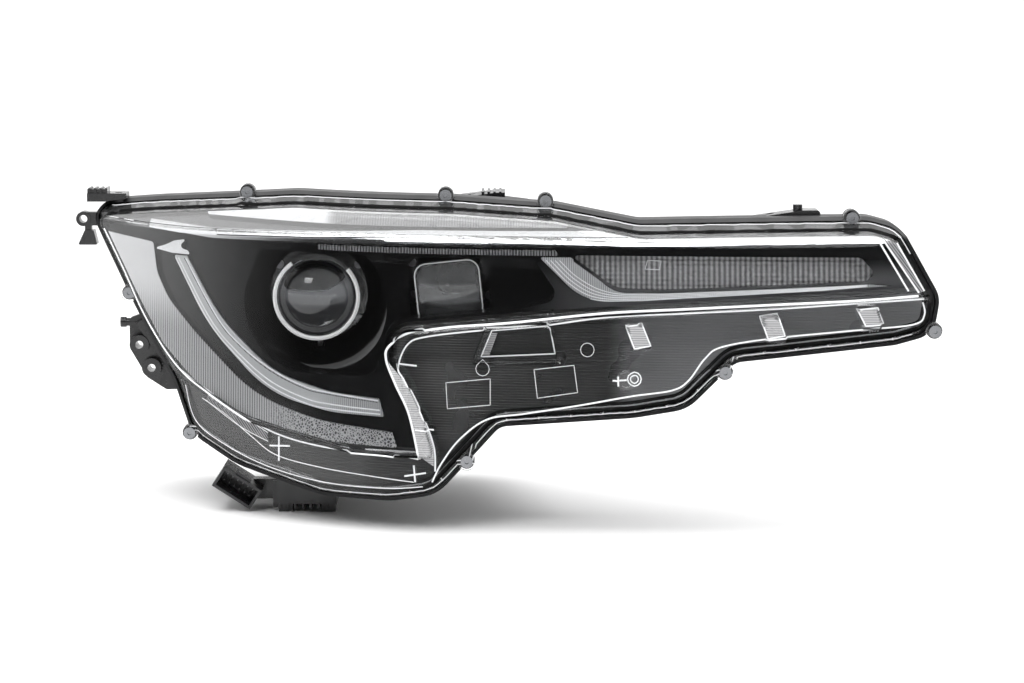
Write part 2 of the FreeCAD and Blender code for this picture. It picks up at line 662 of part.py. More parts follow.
def ring_of(body, sketch, features, count, axis="V_Axis"):
    """Repeats features round an axis of the sketch."""
    item = body.newObject("PartDesign::PolarPattern", body.Label + "_ring")
    item.Originals = features
    item.Axis = (sketch, [axis])
    item.Angle = 360
    bind(item, "Occurrences", count)
    body.Tip = item
    return item


# ----------------------------------------------------------------------------------------------------------
# Low beam module
# ----------------------------------------------------------------------------------------------------------
def low_beam_lens():
    body = new_body("low_beam_lens", "low_x", "0", "low_z")
    sketch = new_sketch(body, "XY_Plane")
    seat, edge = number("low_y"), number("low_lens_radius")
    rise, dome = number("low_lens_rise"), number("low_dome_radius")
    centre = Vector(0, seat - rise + dome)
    rim = math.sqrt(dome ** 2 - (dome - rise) ** 2)
    start, end = math.atan2(-dome, 0), math.atan2(seat - centre.y, rim)
    arc = Part.ArcOfCircle(Part.Circle(centre, Vector(0, 0, 1), dome), start, end)
    corners = [Vector(rim, seat), Vector(edge, seat), Vector(edge, seat + 4), Vector(0, seat + 4),
               Vector(0, seat - rise)]
    sketch.addGeometry(arc)
    for a, b in zip(corners, corners[1:]):
        sketch.addGeometry(Part.LineSegment(a, b))
    for i in range(4):
        sketch.addConstraint(Sketcher.Constraint("Coincident", i, 2, i + 1, 1))
    sketch.addConstraint(Sketcher.Constraint("Coincident", 4, 2, 0, 1))
    sketch.addConstraint(Sketcher.Constraint("PointOnObject", 0, 3, -2))
    fix_point(sketch, 0, 1, "0", "low_y - low_lens_rise")
    fix_point(sketch, 2, 1, "low_lens_radius", "low_y")
    fix_point(sketch, 3, 1, "low_lens_radius", "low_y + 4")
    fix_point(sketch, 4, 1, "0", "low_y + 4")
    radius = sketch.addConstraint(Sketcher.Constraint("Radius", 0, dome))
    sketch.setExpression(f"Constraints[{radius}]", full("low_dome_radius"))
    sketch.addConstraint(Sketcher.Constraint("Horizontal", 1))
    item = body.newObject("PartDesign::Revolution", "low_beam_lens_turn")
    item.Profile = sketch
    item.ReferenceAxis = (sketch, ["V_Axis"])
    item.Angle = 360


def lens_holder_shape():
    """Barrel with flange, brow over the lens, shutter bearings and a slot for the shutter's lever."""
    x, z, radius = size("low_x"), size("low_z"), size("barrel_radius")
    front, back = size("low_y") - 2, size("low_y") + size("barrel_length")
    bore, plate_front = radius - size("barrel_wall"), size("plate_front")
    barrel = cylinder(radius, (x, front, z), (x, back, z))
    flange = cylinder(45, (x, plate_front - 4, z), (x, plate_front, z))
    brow = cylinder(radius + 0.6, (x, front - 4, z), (x, front, z))
    brow = brow.common(box(x - 40, x + 40, front - 5, front, z + 31, z + 50))
    brow = brow.cut(cone_along_y(x, z, front - 30, 0.1, front + 0.1, 33.2))
    lever_z, pin_y, pin_z = z - size("lever_drop"), size("shutter_y"), z - size("shutter_drop")
    return barrel.multiFuse([flange, brow]).cut([
        cylinder(bore, (x, front - 0.1, z), (x, back + 1, z)),
        cylinder(1.3, (x - 40, pin_y, pin_z), (x + 40, pin_y, pin_z)),
        box(x - 3, x + 3, pin_y - 12, pin_y + 3, z - 40, z - 25),
        box(x - 7, x + 7, plate_front - 6, plate_front + 1, lever_z - 6, z - 36.5),
    ] + module_screw_cylinders(2.1, plate_front - 8, plate_front + 8))


def module_screw_places():
    """Screws that hold both modules to the carrier plate: (x, z)."""
    low_x, low_z = size("low_x"), size("low_z")
    places = [(low_x + 41 * math.cos(math.radians(a)), low_z + 41 * math.sin(math.radians(a)))
              for a in (35, 145, 215, 325)]
    high_x, high_z = size("high_x"), size("high_z")
    return places + [(high_x + dx, high_z + dz) for dx in (-33, 33) for dz in (-14, 14)]


def module_screw_cylinders(radius, start, end):
    return [cylinder(radius, (x, start, z), (x, end, z)) for x, z in module_screw_places()]


def low_beam_reflector_shape():
    """Half shell over the LED board, open downwards and to the front."""
    x, z, back = size("low_x"), size("low_z"), size("heat_base")
    profile = [(0, back - 3), (14, back - 4), (24, back - 12), (31, back - 26), (33, back - 39)]
    outer = Part.makePolygon([Vector(r + 1.6, y, 0) for r, y in reversed(profile[1:])]
                             + [Vector(0, profile[0][1] + 1.6, 0), Vector(0, profile[0][1], 0)]
                             + [Vector(r, y, 0) for r, y in profile[1:]]
                             + [Vector(profile[-1][0] + 1.6, profile[-1][1], 0)])
    shell = Part.Face(outer).revolve(Vector(), Vector(0, 1, 0), 360).translated(Vector(x, 0, z))
    return shell.common(box(x - 60, x + 60, 0, 120, z + 0.4, z + 60))


def low_beam_heat_sink():
    body = new_body("low_beam_heat_sink", "low_x", "0", "low_z")
    base = new_sketch(body, "XZ_Plane", "-(heat_base + 4)")
    draw_box(base, "-38", "38", "-40", "40")
    pad(body, base, "4")
    shelf = new_sketch(body, "XZ_Plane", "-(heat_base + 2)")
    draw_box(shelf, "-17", "17", "-9", "-2")
    pad(body, shelf, "36")
    fin = new_sketch(body, "XZ_Plane", "-(heat_base + 26)")
    draw_box(fin, "-36", "-34.4", "-38", "38")
    fins = pad(body, fin, "23")
    row_of(body, fin, [fins], "70.4 / (fin_count - 1)", "fin_count")


def cooling_fan_frame():
    body = new_body("cooling_fan_frame", "low_x", "0", "low_z")
    outer = new_sketch(body, "XZ_Plane", "-(fan_front + 12)")
    draw_box(outer, "-30", "30", "-30", "30")
    pad(body, outer, "12")
    bore = new_sketch(body, "XZ_Plane", "-(fan_front + 9.5)")
    draw_circle(bore, "0", "0", "fan_radius + 1.5")
    pocket(body, bore, "14", True)
    vents = new_sketch(body, "XZ_Plane", "-(fan_front + 13)")
    draw_polygon(vents, [("4", "11"), ("22", "11"), ("14", "22"), ("4", "25")])
    slot = pocket(body, vents, "8", True)
    ring_of(body, vents, [slot], "6", "N_Axis")
    shaft = new_sketch(body, "XZ_Plane", "-(fan_front + 13)")
    draw_circle(shaft, "0", "0", "fan_shaft + 0.05")
    pocket(body, shaft, "8", True)


def cooling_fan_rotor():
    body = turned("cooling_fan_rotor", "low_x", "low_z", [
        ("0", "fan_front + 1"), ("10.5", "fan_front + 1"), ("10.5", "fan_front + 8.5"),
        ("fan_shaft", "fan_front + 8.5"), ("fan_shaft", "fan_front + 11.6"), ("0", "fan_front + 11.6"),
    ])
    blade = new_sketch(body, "YZ_Plane", "9.8")
    draw_polygon(blade, [("fan_front + 1.6", "-5"), ("fan_front + 2.8", "-5"), ("fan_front + 8.2", "5"),
                         ("fan_front + 7", "5")])
    blades = pad(body, blade, "fan_radius - 9.8 - 0.6")
    ring_of(body, body.Group[0], [blades], "fan_blades")


def shutter_shape():
    """Cut-off plate, its pin and the lever under it, turning on the pin."""
    x, z = size("low_x"), size("low_z")
    pin_y, pin_z, lever_z = size("shutter_y"), z - size("shutter_drop"), z - size("lever_drop")
    outline = [(x - 15, pin_z - 2), (x + 15, pin_z - 2), (x + 27, z - 5), (x + 27, z - 1), (x + 4, z - 1),
               (x, z - 3), (x - 27, z - 3), (x - 27, z - 5)]
    sheet_metal = prism([(a, b, 0) for a, b in outline], 0, pin_y - 0.75, pin_y + 0.75)
    pin = cylinder(1.25, (x - 24.4, pin_y, pin_z), (x + 24.4, pin_y, pin_z))
    lever = box(x - 2, x + 2, pin_y - 0.75, pin_y + 0.75, lever_z - 2.5, pin_z)
    return sheet_metal.multiFuse([pin, lever])


def solenoid_shape():
    x, lever_z, front = size("low_x"), size("low_z") - size("lever_drop"), size("solenoid_front")
    case = box(x - 10, x + 10, front, front + 30, lever_z - 9, lever_z + 7.4)
    return case.cut(cylinder(2.2, (x, front - 1, lever_z), (x, front + 27, lever_z)))


low_beam_lens()
feature("low_beam_lens_holder", lens_holder_shape())
turned("low_beam_ring", "low_x", "low_z", [
    ("barrel_radius - 2.6", "low_y - 7"), ("barrel_radius - 1", "low_y - 8.4"), ("ring_radius", "low_y - 7"),
    ("ring_radius", "low_y - 2"), ("barrel_radius - 2.6", "low_y - 2"),
], "360 - ring_gap", Rotation(Vector(0, 1, 0), size("ring_start")))
feature("low_beam_reflector", low_beam_reflector_shape())
low_beam_heat_sink()
board = doc.addObject("Part::Box", "low_beam_led_board")
for prop, text in (("Length", "28"), ("Width", "20"), ("Height", "1.6"), ("Placement.Base.x", "low_x - 14"),
                   ("Placement.Base.y", "heat_base - 31"), ("Placement.Base.z", "low_z - 2")):
    bind(board, prop, text)
NODES.append(board)
cooling_fan_frame()
cooling_fan_rotor()
feature("cutoff_shutter", shutter_shape())
feature("shutter_solenoid", solenoid_shape())
turned("solenoid_plunger", "low_x", "low_z - lever_drop", [
    ("0", "shutter_y + 1.5"), ("2", "shutter_y + 1.5"), ("2", "solenoid_front + 16"),
    ("0", "solenoid_front + 16"),
])


# ----------------------------------------------------------------------------------------------------------
# High beam module
# ----------------------------------------------------------------------------------------------------------
def high_lens_shape():
    x, z, seat = size("high_x"), size("high_z"), size("high_y")
    dome = Part.makeSphere(62, Vector(x, seat - 12 + 62, z))
    return high_prism(0, seat - 20, seat + 3).common(dome)


def high_holder_shape():
    """Rounded tube with a lip round the lens and a flange on the carrier plate."""
    seat, plate_front = size("high_y"), size("plate_front")
    x, z = size("high_x"), size("high_z")
    tube = high_prism(2.8, seat - 8, plate_front)
    flange = box(x - 38, x + 38, plate_front - 4, plate_front, z - 21, z + 21)
    return tube.fuse(flange).cut([high_prism(0.2, seat - 10, plate_front + 1)]
                                 + module_screw_cylinders(2.1, plate_front - 8, plate_front + 8))


def high_reflector_shape():
    x, z, plate_front = size("high_x"), size("high_z"), size("plate_front")
    outer = cone_along_y(x, z, plate_front - 36, 22, plate_front - 15, 11.5)
    return outer.cut(cone_along_y(x, z, plate_front - 36.01, 20.5, plate_front - 14.99, 10))


def high_beam_heat_sink():
    body = new_body("high_beam_heat_sink", "high_x", "0", "high_z")
    base = new_sketch(body, "XZ_Plane", "-(plate_front + plate_wall + 4)")
    draw_box(base, "-26", "26", "-22", "22")
    pad(body, base, "4")
    block = new_sketch(body, "XZ_Plane", "-(plate_front + plate_wall + 1)")
    draw_box(block, "-15", "15", "-12", "12")
    pad(body, block, "plate_wall + 14")
    fin = new_sketch(body, "XZ_Plane", "-(plate_front + plate_wall + 28)")
    draw_box(fin, "-24", "-22.4", "-20", "20")
    fins = pad(body, fin, "25")
    row_of(body, fin, [fins], "46.4 / 6", "7")


feature("high_beam_lens", high_lens_shape())
feature("high_beam_holder", high_holder_shape())
feature("high_beam_reflector", high_reflector_shape())
high_beam_heat_sink()
high_board = doc.addObject("Part::Box", "high_beam_led_board")
for prop, text in (("Length", "26"), ("Width", "1.6"), ("Height", "20"), ("Placement.Base.x", "high_x - 13"),
                   ("Placement.Base.y", "plate_front - 14.6"), ("Placement.Base.z", "high_z - 10")):
    bind(high_board, prop, text)
NODES.append(high_board)


# ----------------------------------------------------------------------------------------------------------
# Carrier plate, ball joints and levelling
# ----------------------------------------------------------------------------------------------------------
def ball_places():
    return [(size("pivot_left"), size("pivot_z")), (size("pivot_right"), size("pivot_z")),
            (size("push_x"), size("push_z"))]


def carrier_shape():
    """Plate that holds both modules, with a ball cup at each of its three supports."""
    front, back = size("plate_front"), size("plate_front") + size("plate_wall")
    low_x, low_z, high_x, high_z = size("low_x"), size("low_z"), size("high_x"), size("high_z")
    outline = [(-217, 216, 6), (-214, 236, 6), (18, 238, 8), (20, 216, 8), (6, 170, 12), (-28, 118, 8),
               (-56, 118, 8), (-104, 136, 20), (-176, 136, 20), (-192, 180, 20)]
    body = prism(outline, 0, front, back)
    lever_z = low_z - size("lever_drop")
    cuts = [
        cylinder(size("barrel_radius") + 0.2, (low_x, front - 1, low_z), (low_x, back + 1, low_z)),
        box(high_x - 16, high_x + 16, front - 1, back + 1, high_z - 13, high_z + 13),
        box(low_x - 11, low_x + 11, front - 1, back + 1, lever_z - 10, low_z - 34),
    ] + module_screw_cylinders(2.1, front - 8, back + 8)
    cups, cavities = [], []
    radius, y = size("ball_radius") + size("ball_play"), size("pivot_y")
    for x, z in ball_places():
        cups.append(box(x - 8, x + 8, back - 0.5, y + 3.6, z - 8, z + 8))
        cavities.append(Part.makeSphere(radius, Vector(x, y, z)))
        cavities.append(cone_along_y(x, z, y + 1, 4.3, y + 4.6, 7.0))
    return body.multiFuse(cups).cut(cuts + cavities)


def ball_stud(x, z, rod, end):
    """Rod along Y with a ball at its front end."""
    y, ball = size("pivot_y"), size("ball_radius")
    rod_shape = cylinder(rod, (x, y, z), (x, end, z))
    return Part.makeSphere(ball, Vector(x, y, z)).fuse(rod_shape)


def levelling_motor_shape():
    x, z, rear = size("push_x"), size("push_z"), size("rear_wall") - size("shell_wall")
    case = box(x - 24, x + 24, size("motor_front"), rear, z - 28, z + 22)
    nose = cylinder(9, (x, size("motor_front") - 10, z), (x, size("motor_front"), z))
    adjuster_z, shaft = size("adjuster_z"), size("adjuster_radius")
    return case.fuse(nose).cut([
        cylinder(size("push_rod") + 0.15, (x, size("motor_front") - 11, z), (x, rear - 6, z)),
        cylinder(shaft + 0.15, (x, rear - 16, adjuster_z), (x, rear + 1, adjuster_z)),
    ])


def adjuster_shape():
    """Hexagonal head with a crown of teeth, on a shaft into the levelling motor."""
    x, z, rear, shaft = size("push_x"), size("adjuster_z"), size("rear_wall"), size("adjuster_radius")
    wheel = cylinder(9, (x, rear + 1, z), (x, rear + 5, z))
    teeth = []
    for i in range(12):
        tooth = Part.makeBox(2.6, 5, 1.8, Vector(7.6, rear + 1, -0.9))
        tooth.rotate(Vector(), Vector(0, 1, 0), 30 * i)
        teeth.append(tooth.translated(Vector(x, 0, z)))
    sixths = [math.radians(60 * i) for i in range(7)]
    corners = [Vector(x + 5.2 * math.cos(a), rear + 5, z + 5.2 * math.sin(a)) for a in sixths]
    head = Part.Face(Part.makePolygon(corners)).extrude(Vector(0, 8, 0))
    rod = cylinder(shaft, (x, rear - 14, z), (x, rear + 3, z))
    return wheel.multiFuse(teeth + [head, rod])


def module_screw_solids():
    front = size("plate_front") - 4
    screws = []
    for x, z in module_screw_places():
        shank = cylinder(2, (x, front - 0.5, z), (x, front + 10, z))
        screws.append(cylinder(3.6, (x, front - 2.6, z), (x, front, z)).fuse(shank))
    return screws


feature("carrier_frame", carrier_shape())
group("module_screws", module_screw_solids())
group("pivot_ball_studs", [ball_stud(x, z, 3, 80) for x, z in ball_places()[:2]])
feature("levelling_rod", ball_stud(size("push_x"), size("push_z"), size("push_rod"), 112))
feature("levelling_motor", levelling_motor_shape())
feature("manual_adjuster", adjuster_shape())


# ----------------------------------------------------------------------------------------------------------
# Covers, turn signal socket and bulb, vents
# ----------------------------------------------------------------------------------------------------------
def lug_ring(x, z, y0, y1, radius, reach, width, count):
    lugs = []
    for i in range(count):
        lug = Part.makeBox(reach, y1 - y0, width, Vector(radius - 1, y0, -width / 2))
        lug.rotate(Vector(), Vector(0, 1, 0), 360 / count * i)
        lugs.append(lug.translated(Vector(x, 0, z)))
    return lugs


def access_cover_shape():
    """Round cover with a grip bar and three lugs behind the housing wall."""
    x, z, rear, radius = size("cover_x"), size("cover_z"), size("rear_wall"), size("cover_radius")
    spigot = radius - 5.4
    disc = cylinder(radius, (x, rear + 0.4, z), (x, rear + 5, z))
    neck = cylinder(spigot, (x, rear - 7.6, z), (x, rear + 1, z))
    grip = box(x - 38, x + 38, rear + 4, rear + 13, z - 4, z + 4)
    lugs = lug_ring(x, z, rear - 7.4, rear - 3.3, spigot, 4, 18, 3)
    groove = cylinder(radius - 1.4, (x, rear + 0.3, z), (x, rear + 1.8, z))
    groove = groove.cut(cylinder(radius - 3.6, (x, rear, z), (x, rear + 3, z)))
    room = cylinder(spigot - 2.4, (x, rear - 8, z), (x, rear + 2.6, z))
    return disc.multiFuse([neck, grip] + lugs).cut([groove, room])


def socket_shape():
    """Twist-in bulb holder with its plug socket."""
    x, z, wall, radius = size("turn_x"), size("turn_z"), size("turn_rear"), size("socket_radius")
    flange = cylinder(radius + 4, (x, wall + 0.3, z), (x, wall + 4, z))
    neck = cylinder(radius - 0.3, (x, wall - 16, z), (x, wall + 1, z))
    plug = box(x - 11, x + 11, wall + 3, wall + 18, z - 8, z + 8)
    lugs = lug_ring(x, z, wall - 7.5, wall - 3.3, radius, 3, 6, 2)
    return flange.multiFuse([neck, plug] + lugs).cut([
        cylinder(8.2, (x, wall - 17, z), (x, wall - 4, z)),
        box(x - 9, x + 9, wall + 6, wall + 19, z - 6, z + 6),
    ])


def driver_shape():
    """Control unit with cooling ribs underneath and four feet."""
    x, y, foot = size("driver_left"), size("driver_front"), size("foot_height")
    x_end, y_end, top = x + size("driver_length"), y + size("driver_depth"), size("driver_top")
    case = box(x, x_end, y, y_end, foot + 4, top)
    added, removed = [], []
    for i in range(8):
        rib_x = x + 1 + i * (size("driver_length") - 4) / 7
        added.append(box(rib_x, rib_x + 2, y, y_end, foot, foot + 5))
    for foot_x in (x + 1, x_end - 13):
        for foot_y in (y + 2, y_end - 14):
            added.append(box(foot_x, foot_x + 12, foot_y, foot_y + 12, 0, foot + 5))
    for ear_y in (y + 12, y_end - 12):
        added.append(cylinder(6, (x_end + 5, ear_y, top - 4), (x_end + 5, ear_y, top)))
        removed.append(cylinder(2.2, (x_end + 5, ear_y, top - 6), (x_end + 5, ear_y, top + 1)))
    added.append(box(x - 4, x, y + 6, y + 10, foot, top - 6))
    return case.multiFuse(added).cut(removed)


def connector_shape():
    """Plug socket that opens to the front, rolled with the lower edge of the lamp."""
    x, y = CONNECTOR[:2]
    body = box(-19, 19, 0, 38, -9.5, 9.5)
    room = box(-16.6, 16.6, -1, 31, -7.1, 7.1)
    latch = box(-7, 7, 2, 26, 9, 12)
    shape = rolled(body.fuse(latch).cut(room))
    left, foot = size("driver_left"), size("foot_height")
    neck = box(x - 4, left - 0.2, y + 24, y + 36, foot + 4, 24)
    return shape.fuse(neck.cut(rolled(room)))


def rolled(shape):
    """A piece of the plug socket, rolled and in its place."""
    placed = shape.copy()
    placed.rotate(Vector(), Vector(0, 1, 0), size("connector_roll"))
    return placed.translated(Vector(*CONNECTOR))


def vent_cap_solids():
    rear = size("rear_wall")
    caps = []
    for x, z in VENTS:
        plug = cylinder(4.9, (x, rear - 6, z), (x, rear + 1, z))
        caps.append(plug.fuse(cylinder(8, (x, rear, z), (x, rear + 9, z))))
    return caps


def connector_pin_solids():
    pins = []
    for column in range(6):
        for row in (-3, 3):
            pin_x = -12.5 + 5 * column
            pins.append(rolled(box(pin_x - 0.4, pin_x + 0.4, 16, 30.8, row - 0.4, row + 0.4)))
    return pins


feature("access_cover", access_cover_shape())
turned("cover_seal", "cover_x", "cover_z", [
    ("cover_radius - 3.5", "rear_wall + 0.05"), ("cover_radius - 1.5", "rear_wall + 0.05"),
    ("cover_radius - 1.5", "rear_wall + 1.75"), ("cover_radius - 3.5", "rear_wall + 1.75"),
])
feature("turn_bulb_socket", socket_shape())
turned("turn_bulb", "turn_x", "turn_z", [
    ("0", "turn_rear - 58"), ("5", "turn_rear - 57"), ("9", "turn_rear - 52"), ("9.5", "turn_rear - 40"),
    ("9", "turn_rear - 26"), ("7.6", "turn_rear - 18"), ("8", "turn_rear - 15.6"), ("8", "turn_rear - 4.2"),
    ("0", "turn_rear - 4.2"),
])
feature("led_driver_module", driver_shape())
feature("main_connector", connector_shape())
group("connector_pins", connector_pin_solids())
group("vent_caps", vent_cap_solids())


# ----------------------------------------------------------------------------------------------------------
# Fasteners and brackets
# ----------------------------------------------------------------------------------------------------------
def lens_screw_solids():
    """Pan-head screws through the tabs of the lens into the housing."""
    screws = []
    for c in TABS:
        head = cylinder(5, (c.x, c.y - 3, c.z), (c.x, c.y, c.z))
        shank = cylinder(size("screw_thread") - 0.05, (c.x, c.y - 1, c.z), (c.x, c.y + 13, c.z))
        drive = cylinder(1.8, (c.x, c.y - 3.5, c.z), (c.x, c.y - 1.4, c.z))
        screws.append(head.fuse(shank).cut(drive))
    return screws


def upper_outboard_bracket_shape():
    """Ribbed tab over the outboard tip with a vertical bolt hole."""
    foot = box(-358, -323, 124, 146, 247, 254.4)
    block = box(-358, -342, 127, 143, 254, 258)
    ribs = [box(-357 + 5 * i, -355 + 5 * i, 125.5, 144.5, 254, 259) for i in range(4)]
    hole = cylinder(size("bolt_radius"), (-331, 134, 240), (-331, 134, 260))
    room = cylinder(6, (-331, 134, 240), (-331, 134, 250.8))
    housing = prism(LENS_OUTLINE, size("groove_reach") + 0.05)
    return foot.multiFuse([block] + ribs).cut([hole, room, housing])


def outboard_locator_shape():
    """Guide ring and wedge beside the outboard tip."""
    ring = cylinder(6.5, (-361, 120, 232), (-361, 132, 232))
    arm = box(-361, -346, 121, 129, 226, 238)
    link = box(-360, -354, 122, 128, 216, 228)
    wedge = prism([(-366, 209, 1), (-349, 209, 1), (-352, 222, 1), (-360, 222, 1)], 0, 120, 132)
    hole = cylinder(size("bolt_radius"), (-361, 110, 232), (-361, 140, 232))
    return ring.multiFuse([arm, link, wedge]).cut([hole, prism(LENS_OUTLINE, size("groove_reach") + 0.05)])


def side_bracket_shape():
    """Side mount with two tubular bosses and a stub."""
    outline = [(-318, 147, 4), (-302, 153, 3), (-286, 142, 3), (-262, 96, 3), (-266, 84, 3), (-286, 83, 4),
               (-303, 94, 4), (-318, 120, 6)]
    plate_shape = prism(outline, 0, 92, 99)
    rib = prism([(-312, 143, 1), (-305, 147, 1), (-264, 92, 1), (-272, 88, 1)], 0, 84, 110)
    bosses = [cylinder(8.5, (x, 82, z), (x, 104, z)) for x, z in SIDE_BOLTS]
    stub = cylinder(3.6, (-310, 95.5, 143), (-324, 95.5, 143))
    tip = cylinder(4.6, (-321, 95.5, 143), (-326, 95.5, 143))
    holes = [cylinder(size("bolt_radius"), (x, 80, z), (x, 112, z)) for x, z in SIDE_BOLTS]
    shape = plate_shape.multiFuse([rib, stub, tip] + bosses).cut(holes)
    return shape.cut(prism(LENS_OUTLINE, -0.9))


def upper_middle_bracket_shape():
    """Ribbed wedge on top of the housing."""
    wedge = Part.Face(Part.makePolygon([
        Vector(-24, 24, 254.2), Vector(14, 24, 254.2), Vector(14, 24, 264), Vector(6, 24, 264),
        Vector(-24, 24, 260), Vector(-24, 24, 254.2),
    ])).extrude(Vector(0, 36, 0))
    ribs = [box(-6 + 5 * i, -4 + 5 * i, 22.5, 61, 254.2, 265) for i in range(4)]
    hole = cylinder(size("bolt_radius"), (-15, 42, 255.5), (-15, 42, 270))
    return wedge.multiFuse(ribs).cut(hole)


def inboard_bracket_shape():
    """Wedge with a stub on top of the inboard end."""
    outline = [(221, 243, 0), (276, 243, 0), (276, 256, 3), (262, 256, 6), (221, 250, 1)]
    wedge = prism(outline, 0, -52, -30)
    stub = cylinder(4, (258, -41, 252), (258, -41, 260))
    hole = cylinder(size("bolt_radius"), (235, -39, 245), (235, -39, 264))
    lip = common(prism(LENS_OUTLINE, size("groove_reach") + 0.05), box(200, 300, -60, -43.6, 200, 300))
    return wedge.fuse(stub).cut([hole, lip])


def driver_screw_solids():
    """The two screws that hold the control unit."""
    x, top = size("driver_left") + size("driver_length") + 5, size("driver_top")
    front, depth = size("driver_front"), size("driver_depth")
    screws = []
    for y in (front + 12, front + depth - 12):
        shank = cylinder(2.15, (x, y, top - 5), (x, y, top - 0.05))
        screws.append(cylinder(4, (x, y, top - 7), (x, y, top - 4)).fuse(shank))
    return screws


group("lens_screws", lens_screw_solids())
feature("upper_outboard_bracket", upper_outboard_bracket_shape())
feature("outboard_locator", outboard_locator_shape())
feature("side_bracket", side_bracket_shape())
feature("upper_middle_bracket", upper_middle_bracket_shape())
feature("inboard_bracket", inboard_bracket_shape())
group("driver_screws", driver_screw_solids())


# ----------------------------------------------------------------------------------------------------------
# Check and write
# ----------------------------------------------------------------------------------------------------------
doc.recompute()
for obj in doc.Objects:
    if "Invalid" in obj.State or "Error" in obj.State:
        raise RuntimeError(f"{obj.Label} failed: {obj.State}")
for node in NODES:
    if node.Shape.isNull() or not node.Shape.isValid():
        raise RuntimeError(f"{node.Label} has no valid shape")
os.makedirs("parts", exist_ok=True)
for node in NODES:
    node.Shape.exportStep(f"parts/{node.Label}.step")
    print(f"{node.Label}: {len(node.Shape.Solids)} solid(s), {node.Shape.Volume / 1000:.1f} cm3")
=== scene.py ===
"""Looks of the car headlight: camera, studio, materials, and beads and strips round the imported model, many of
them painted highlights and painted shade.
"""

import math

import bpy
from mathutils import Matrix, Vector
from mathutils.bvhtree import BVHTree


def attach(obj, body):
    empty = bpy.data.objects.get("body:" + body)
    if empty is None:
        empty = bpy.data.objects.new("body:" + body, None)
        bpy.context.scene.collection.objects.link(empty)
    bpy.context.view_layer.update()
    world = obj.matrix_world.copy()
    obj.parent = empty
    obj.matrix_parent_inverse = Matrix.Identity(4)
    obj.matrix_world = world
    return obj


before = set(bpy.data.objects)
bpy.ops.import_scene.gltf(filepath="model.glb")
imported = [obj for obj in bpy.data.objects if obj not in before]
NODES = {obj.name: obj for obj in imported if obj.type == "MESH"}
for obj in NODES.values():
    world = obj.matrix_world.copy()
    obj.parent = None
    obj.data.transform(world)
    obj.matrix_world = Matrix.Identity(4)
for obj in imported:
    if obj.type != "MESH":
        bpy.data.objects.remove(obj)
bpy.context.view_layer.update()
HOUSING, CARRIER = "lamp_housing", "module_carrier"
scene = bpy.context.scene

# ----------------------------------------------------------------------------------------------------
# Camera, light and floor
# ----------------------------------------------------------------------------------------------------
VIEW_HEIGHT = math.radians(8)
VIEW_DISTANCE = 2.5
TARGET = Vector((0.020, -0.008, 0.140))
FOCAL_LENGTH_MM, SENSOR_WIDTH_MM, FAR_CLIP = 103.4, 36.0, 200.0
WORLD_DARK, WORLD_PALE = 0.05, 1.3  # strengths
WORLD_FADES = (("Y", -0.48, 0.15), ("Z", 0.11, 0.03))  # axis of the direction, where dark ends, where pale starts
WHITE = (1, 1, 1, 1)

camera_data = bpy.data.cameras.new("camera")
camera_data.lens = FOCAL_LENGTH_MM
camera_data.sensor_width = SENSOR_WIDTH_MM
camera_data.clip_end = FAR_CLIP
camera = bpy.data.objects.new("camera", camera_data)
scene.collection.objects.link(camera)
back = Vector((0, -math.cos(VIEW_HEIGHT), math.sin(VIEW_HEIGHT)))
camera.location = TARGET + VIEW_DISTANCE * back
camera.rotation_euler = (-back).to_track_quat("-Z", "Y").to_euler()
scene.camera = camera
scene.view_settings.view_transform = "Standard"


def softbox(name, place, aim, width, height, watts):
    """A rectangular soft light, in metres and watts."""
    data = bpy.data.lights.new(name, "AREA")
    data.shape, data.size, data.size_y, data.energy = "RECTANGLE", width, height, watts
    light = bpy.data.objects.new(name, data)
    light.location = Vector(place)
    light.rotation_euler = (Vector(aim) - light.location).to_track_quat("-Z", "Y").to_euler()
    scene.collection.objects.link(light)


def studio_world():
    """Pale room that is dark in front of the lamp, above the floor line, so that the lens mirrors the dark."""
    world = bpy.data.worlds.new("studio")
    scene.world = world
    world.use_nodes = True
    tree = world.node_tree
    background = tree.nodes["Background"]
    coordinate = tree.nodes.new("ShaderNodeTexCoord")
    split = tree.nodes.new("ShaderNodeSeparateXYZ")
    pale = tree.nodes.new("ShaderNodeMath")
    pale.operation = "MAXIMUM"
    tree.links.new(coordinate.outputs["Generated"], split.inputs[0])
    for slot, (axis, start, stop) in enumerate(WORLD_FADES):
        fade = tree.nodes.new("ShaderNodeMapRange")
        fade.interpolation_type = "SMOOTHSTEP"
        for socket, value in (("From Min", start), ("From Max", stop), ("To Min", WORLD_DARK),
                              ("To Max", WORLD_PALE)):
            fade.inputs[socket].default_value = value
        tree.links.new(split.outputs[axis], fade.inputs["Value"])
        tree.links.new(fade.outputs[0], pale.inputs[slot])
    tree.links.new(pale.outputs[0], background.inputs["Strength"])
    background.inputs["Color"].default_value = WHITE


studio_world()
softbox("overhead", (0, 0.25, 2.3), (0, 0.1, 0.1), width=3.0, height=2.2, watts=62)
softbox("left_front", (-0.95, -1.45, 1.75), (-0.1, 0, 0.15), width=0.8, height=0.7, watts=12)
softbox("right_front", (1.3, -1.4, 1.5), (0.1, 0, 0.15), width=0.8, height=1.0, watts=4)
softbox("front_high", (-0.1, -1.3, 2.5), (0, 0, 0.15), width=3.0, height=1.4, watts=38)


# ----------------------------------------------------------------------------------------------------
# Materials: every pattern is in object coordinates, which are the part's own frame in metres
# ----------------------------------------------------------------------------------------------------
GRAIN_LOW, GRAIN_HIGH = 0.3, 0.7  # noise values that give a gloss range its two ends


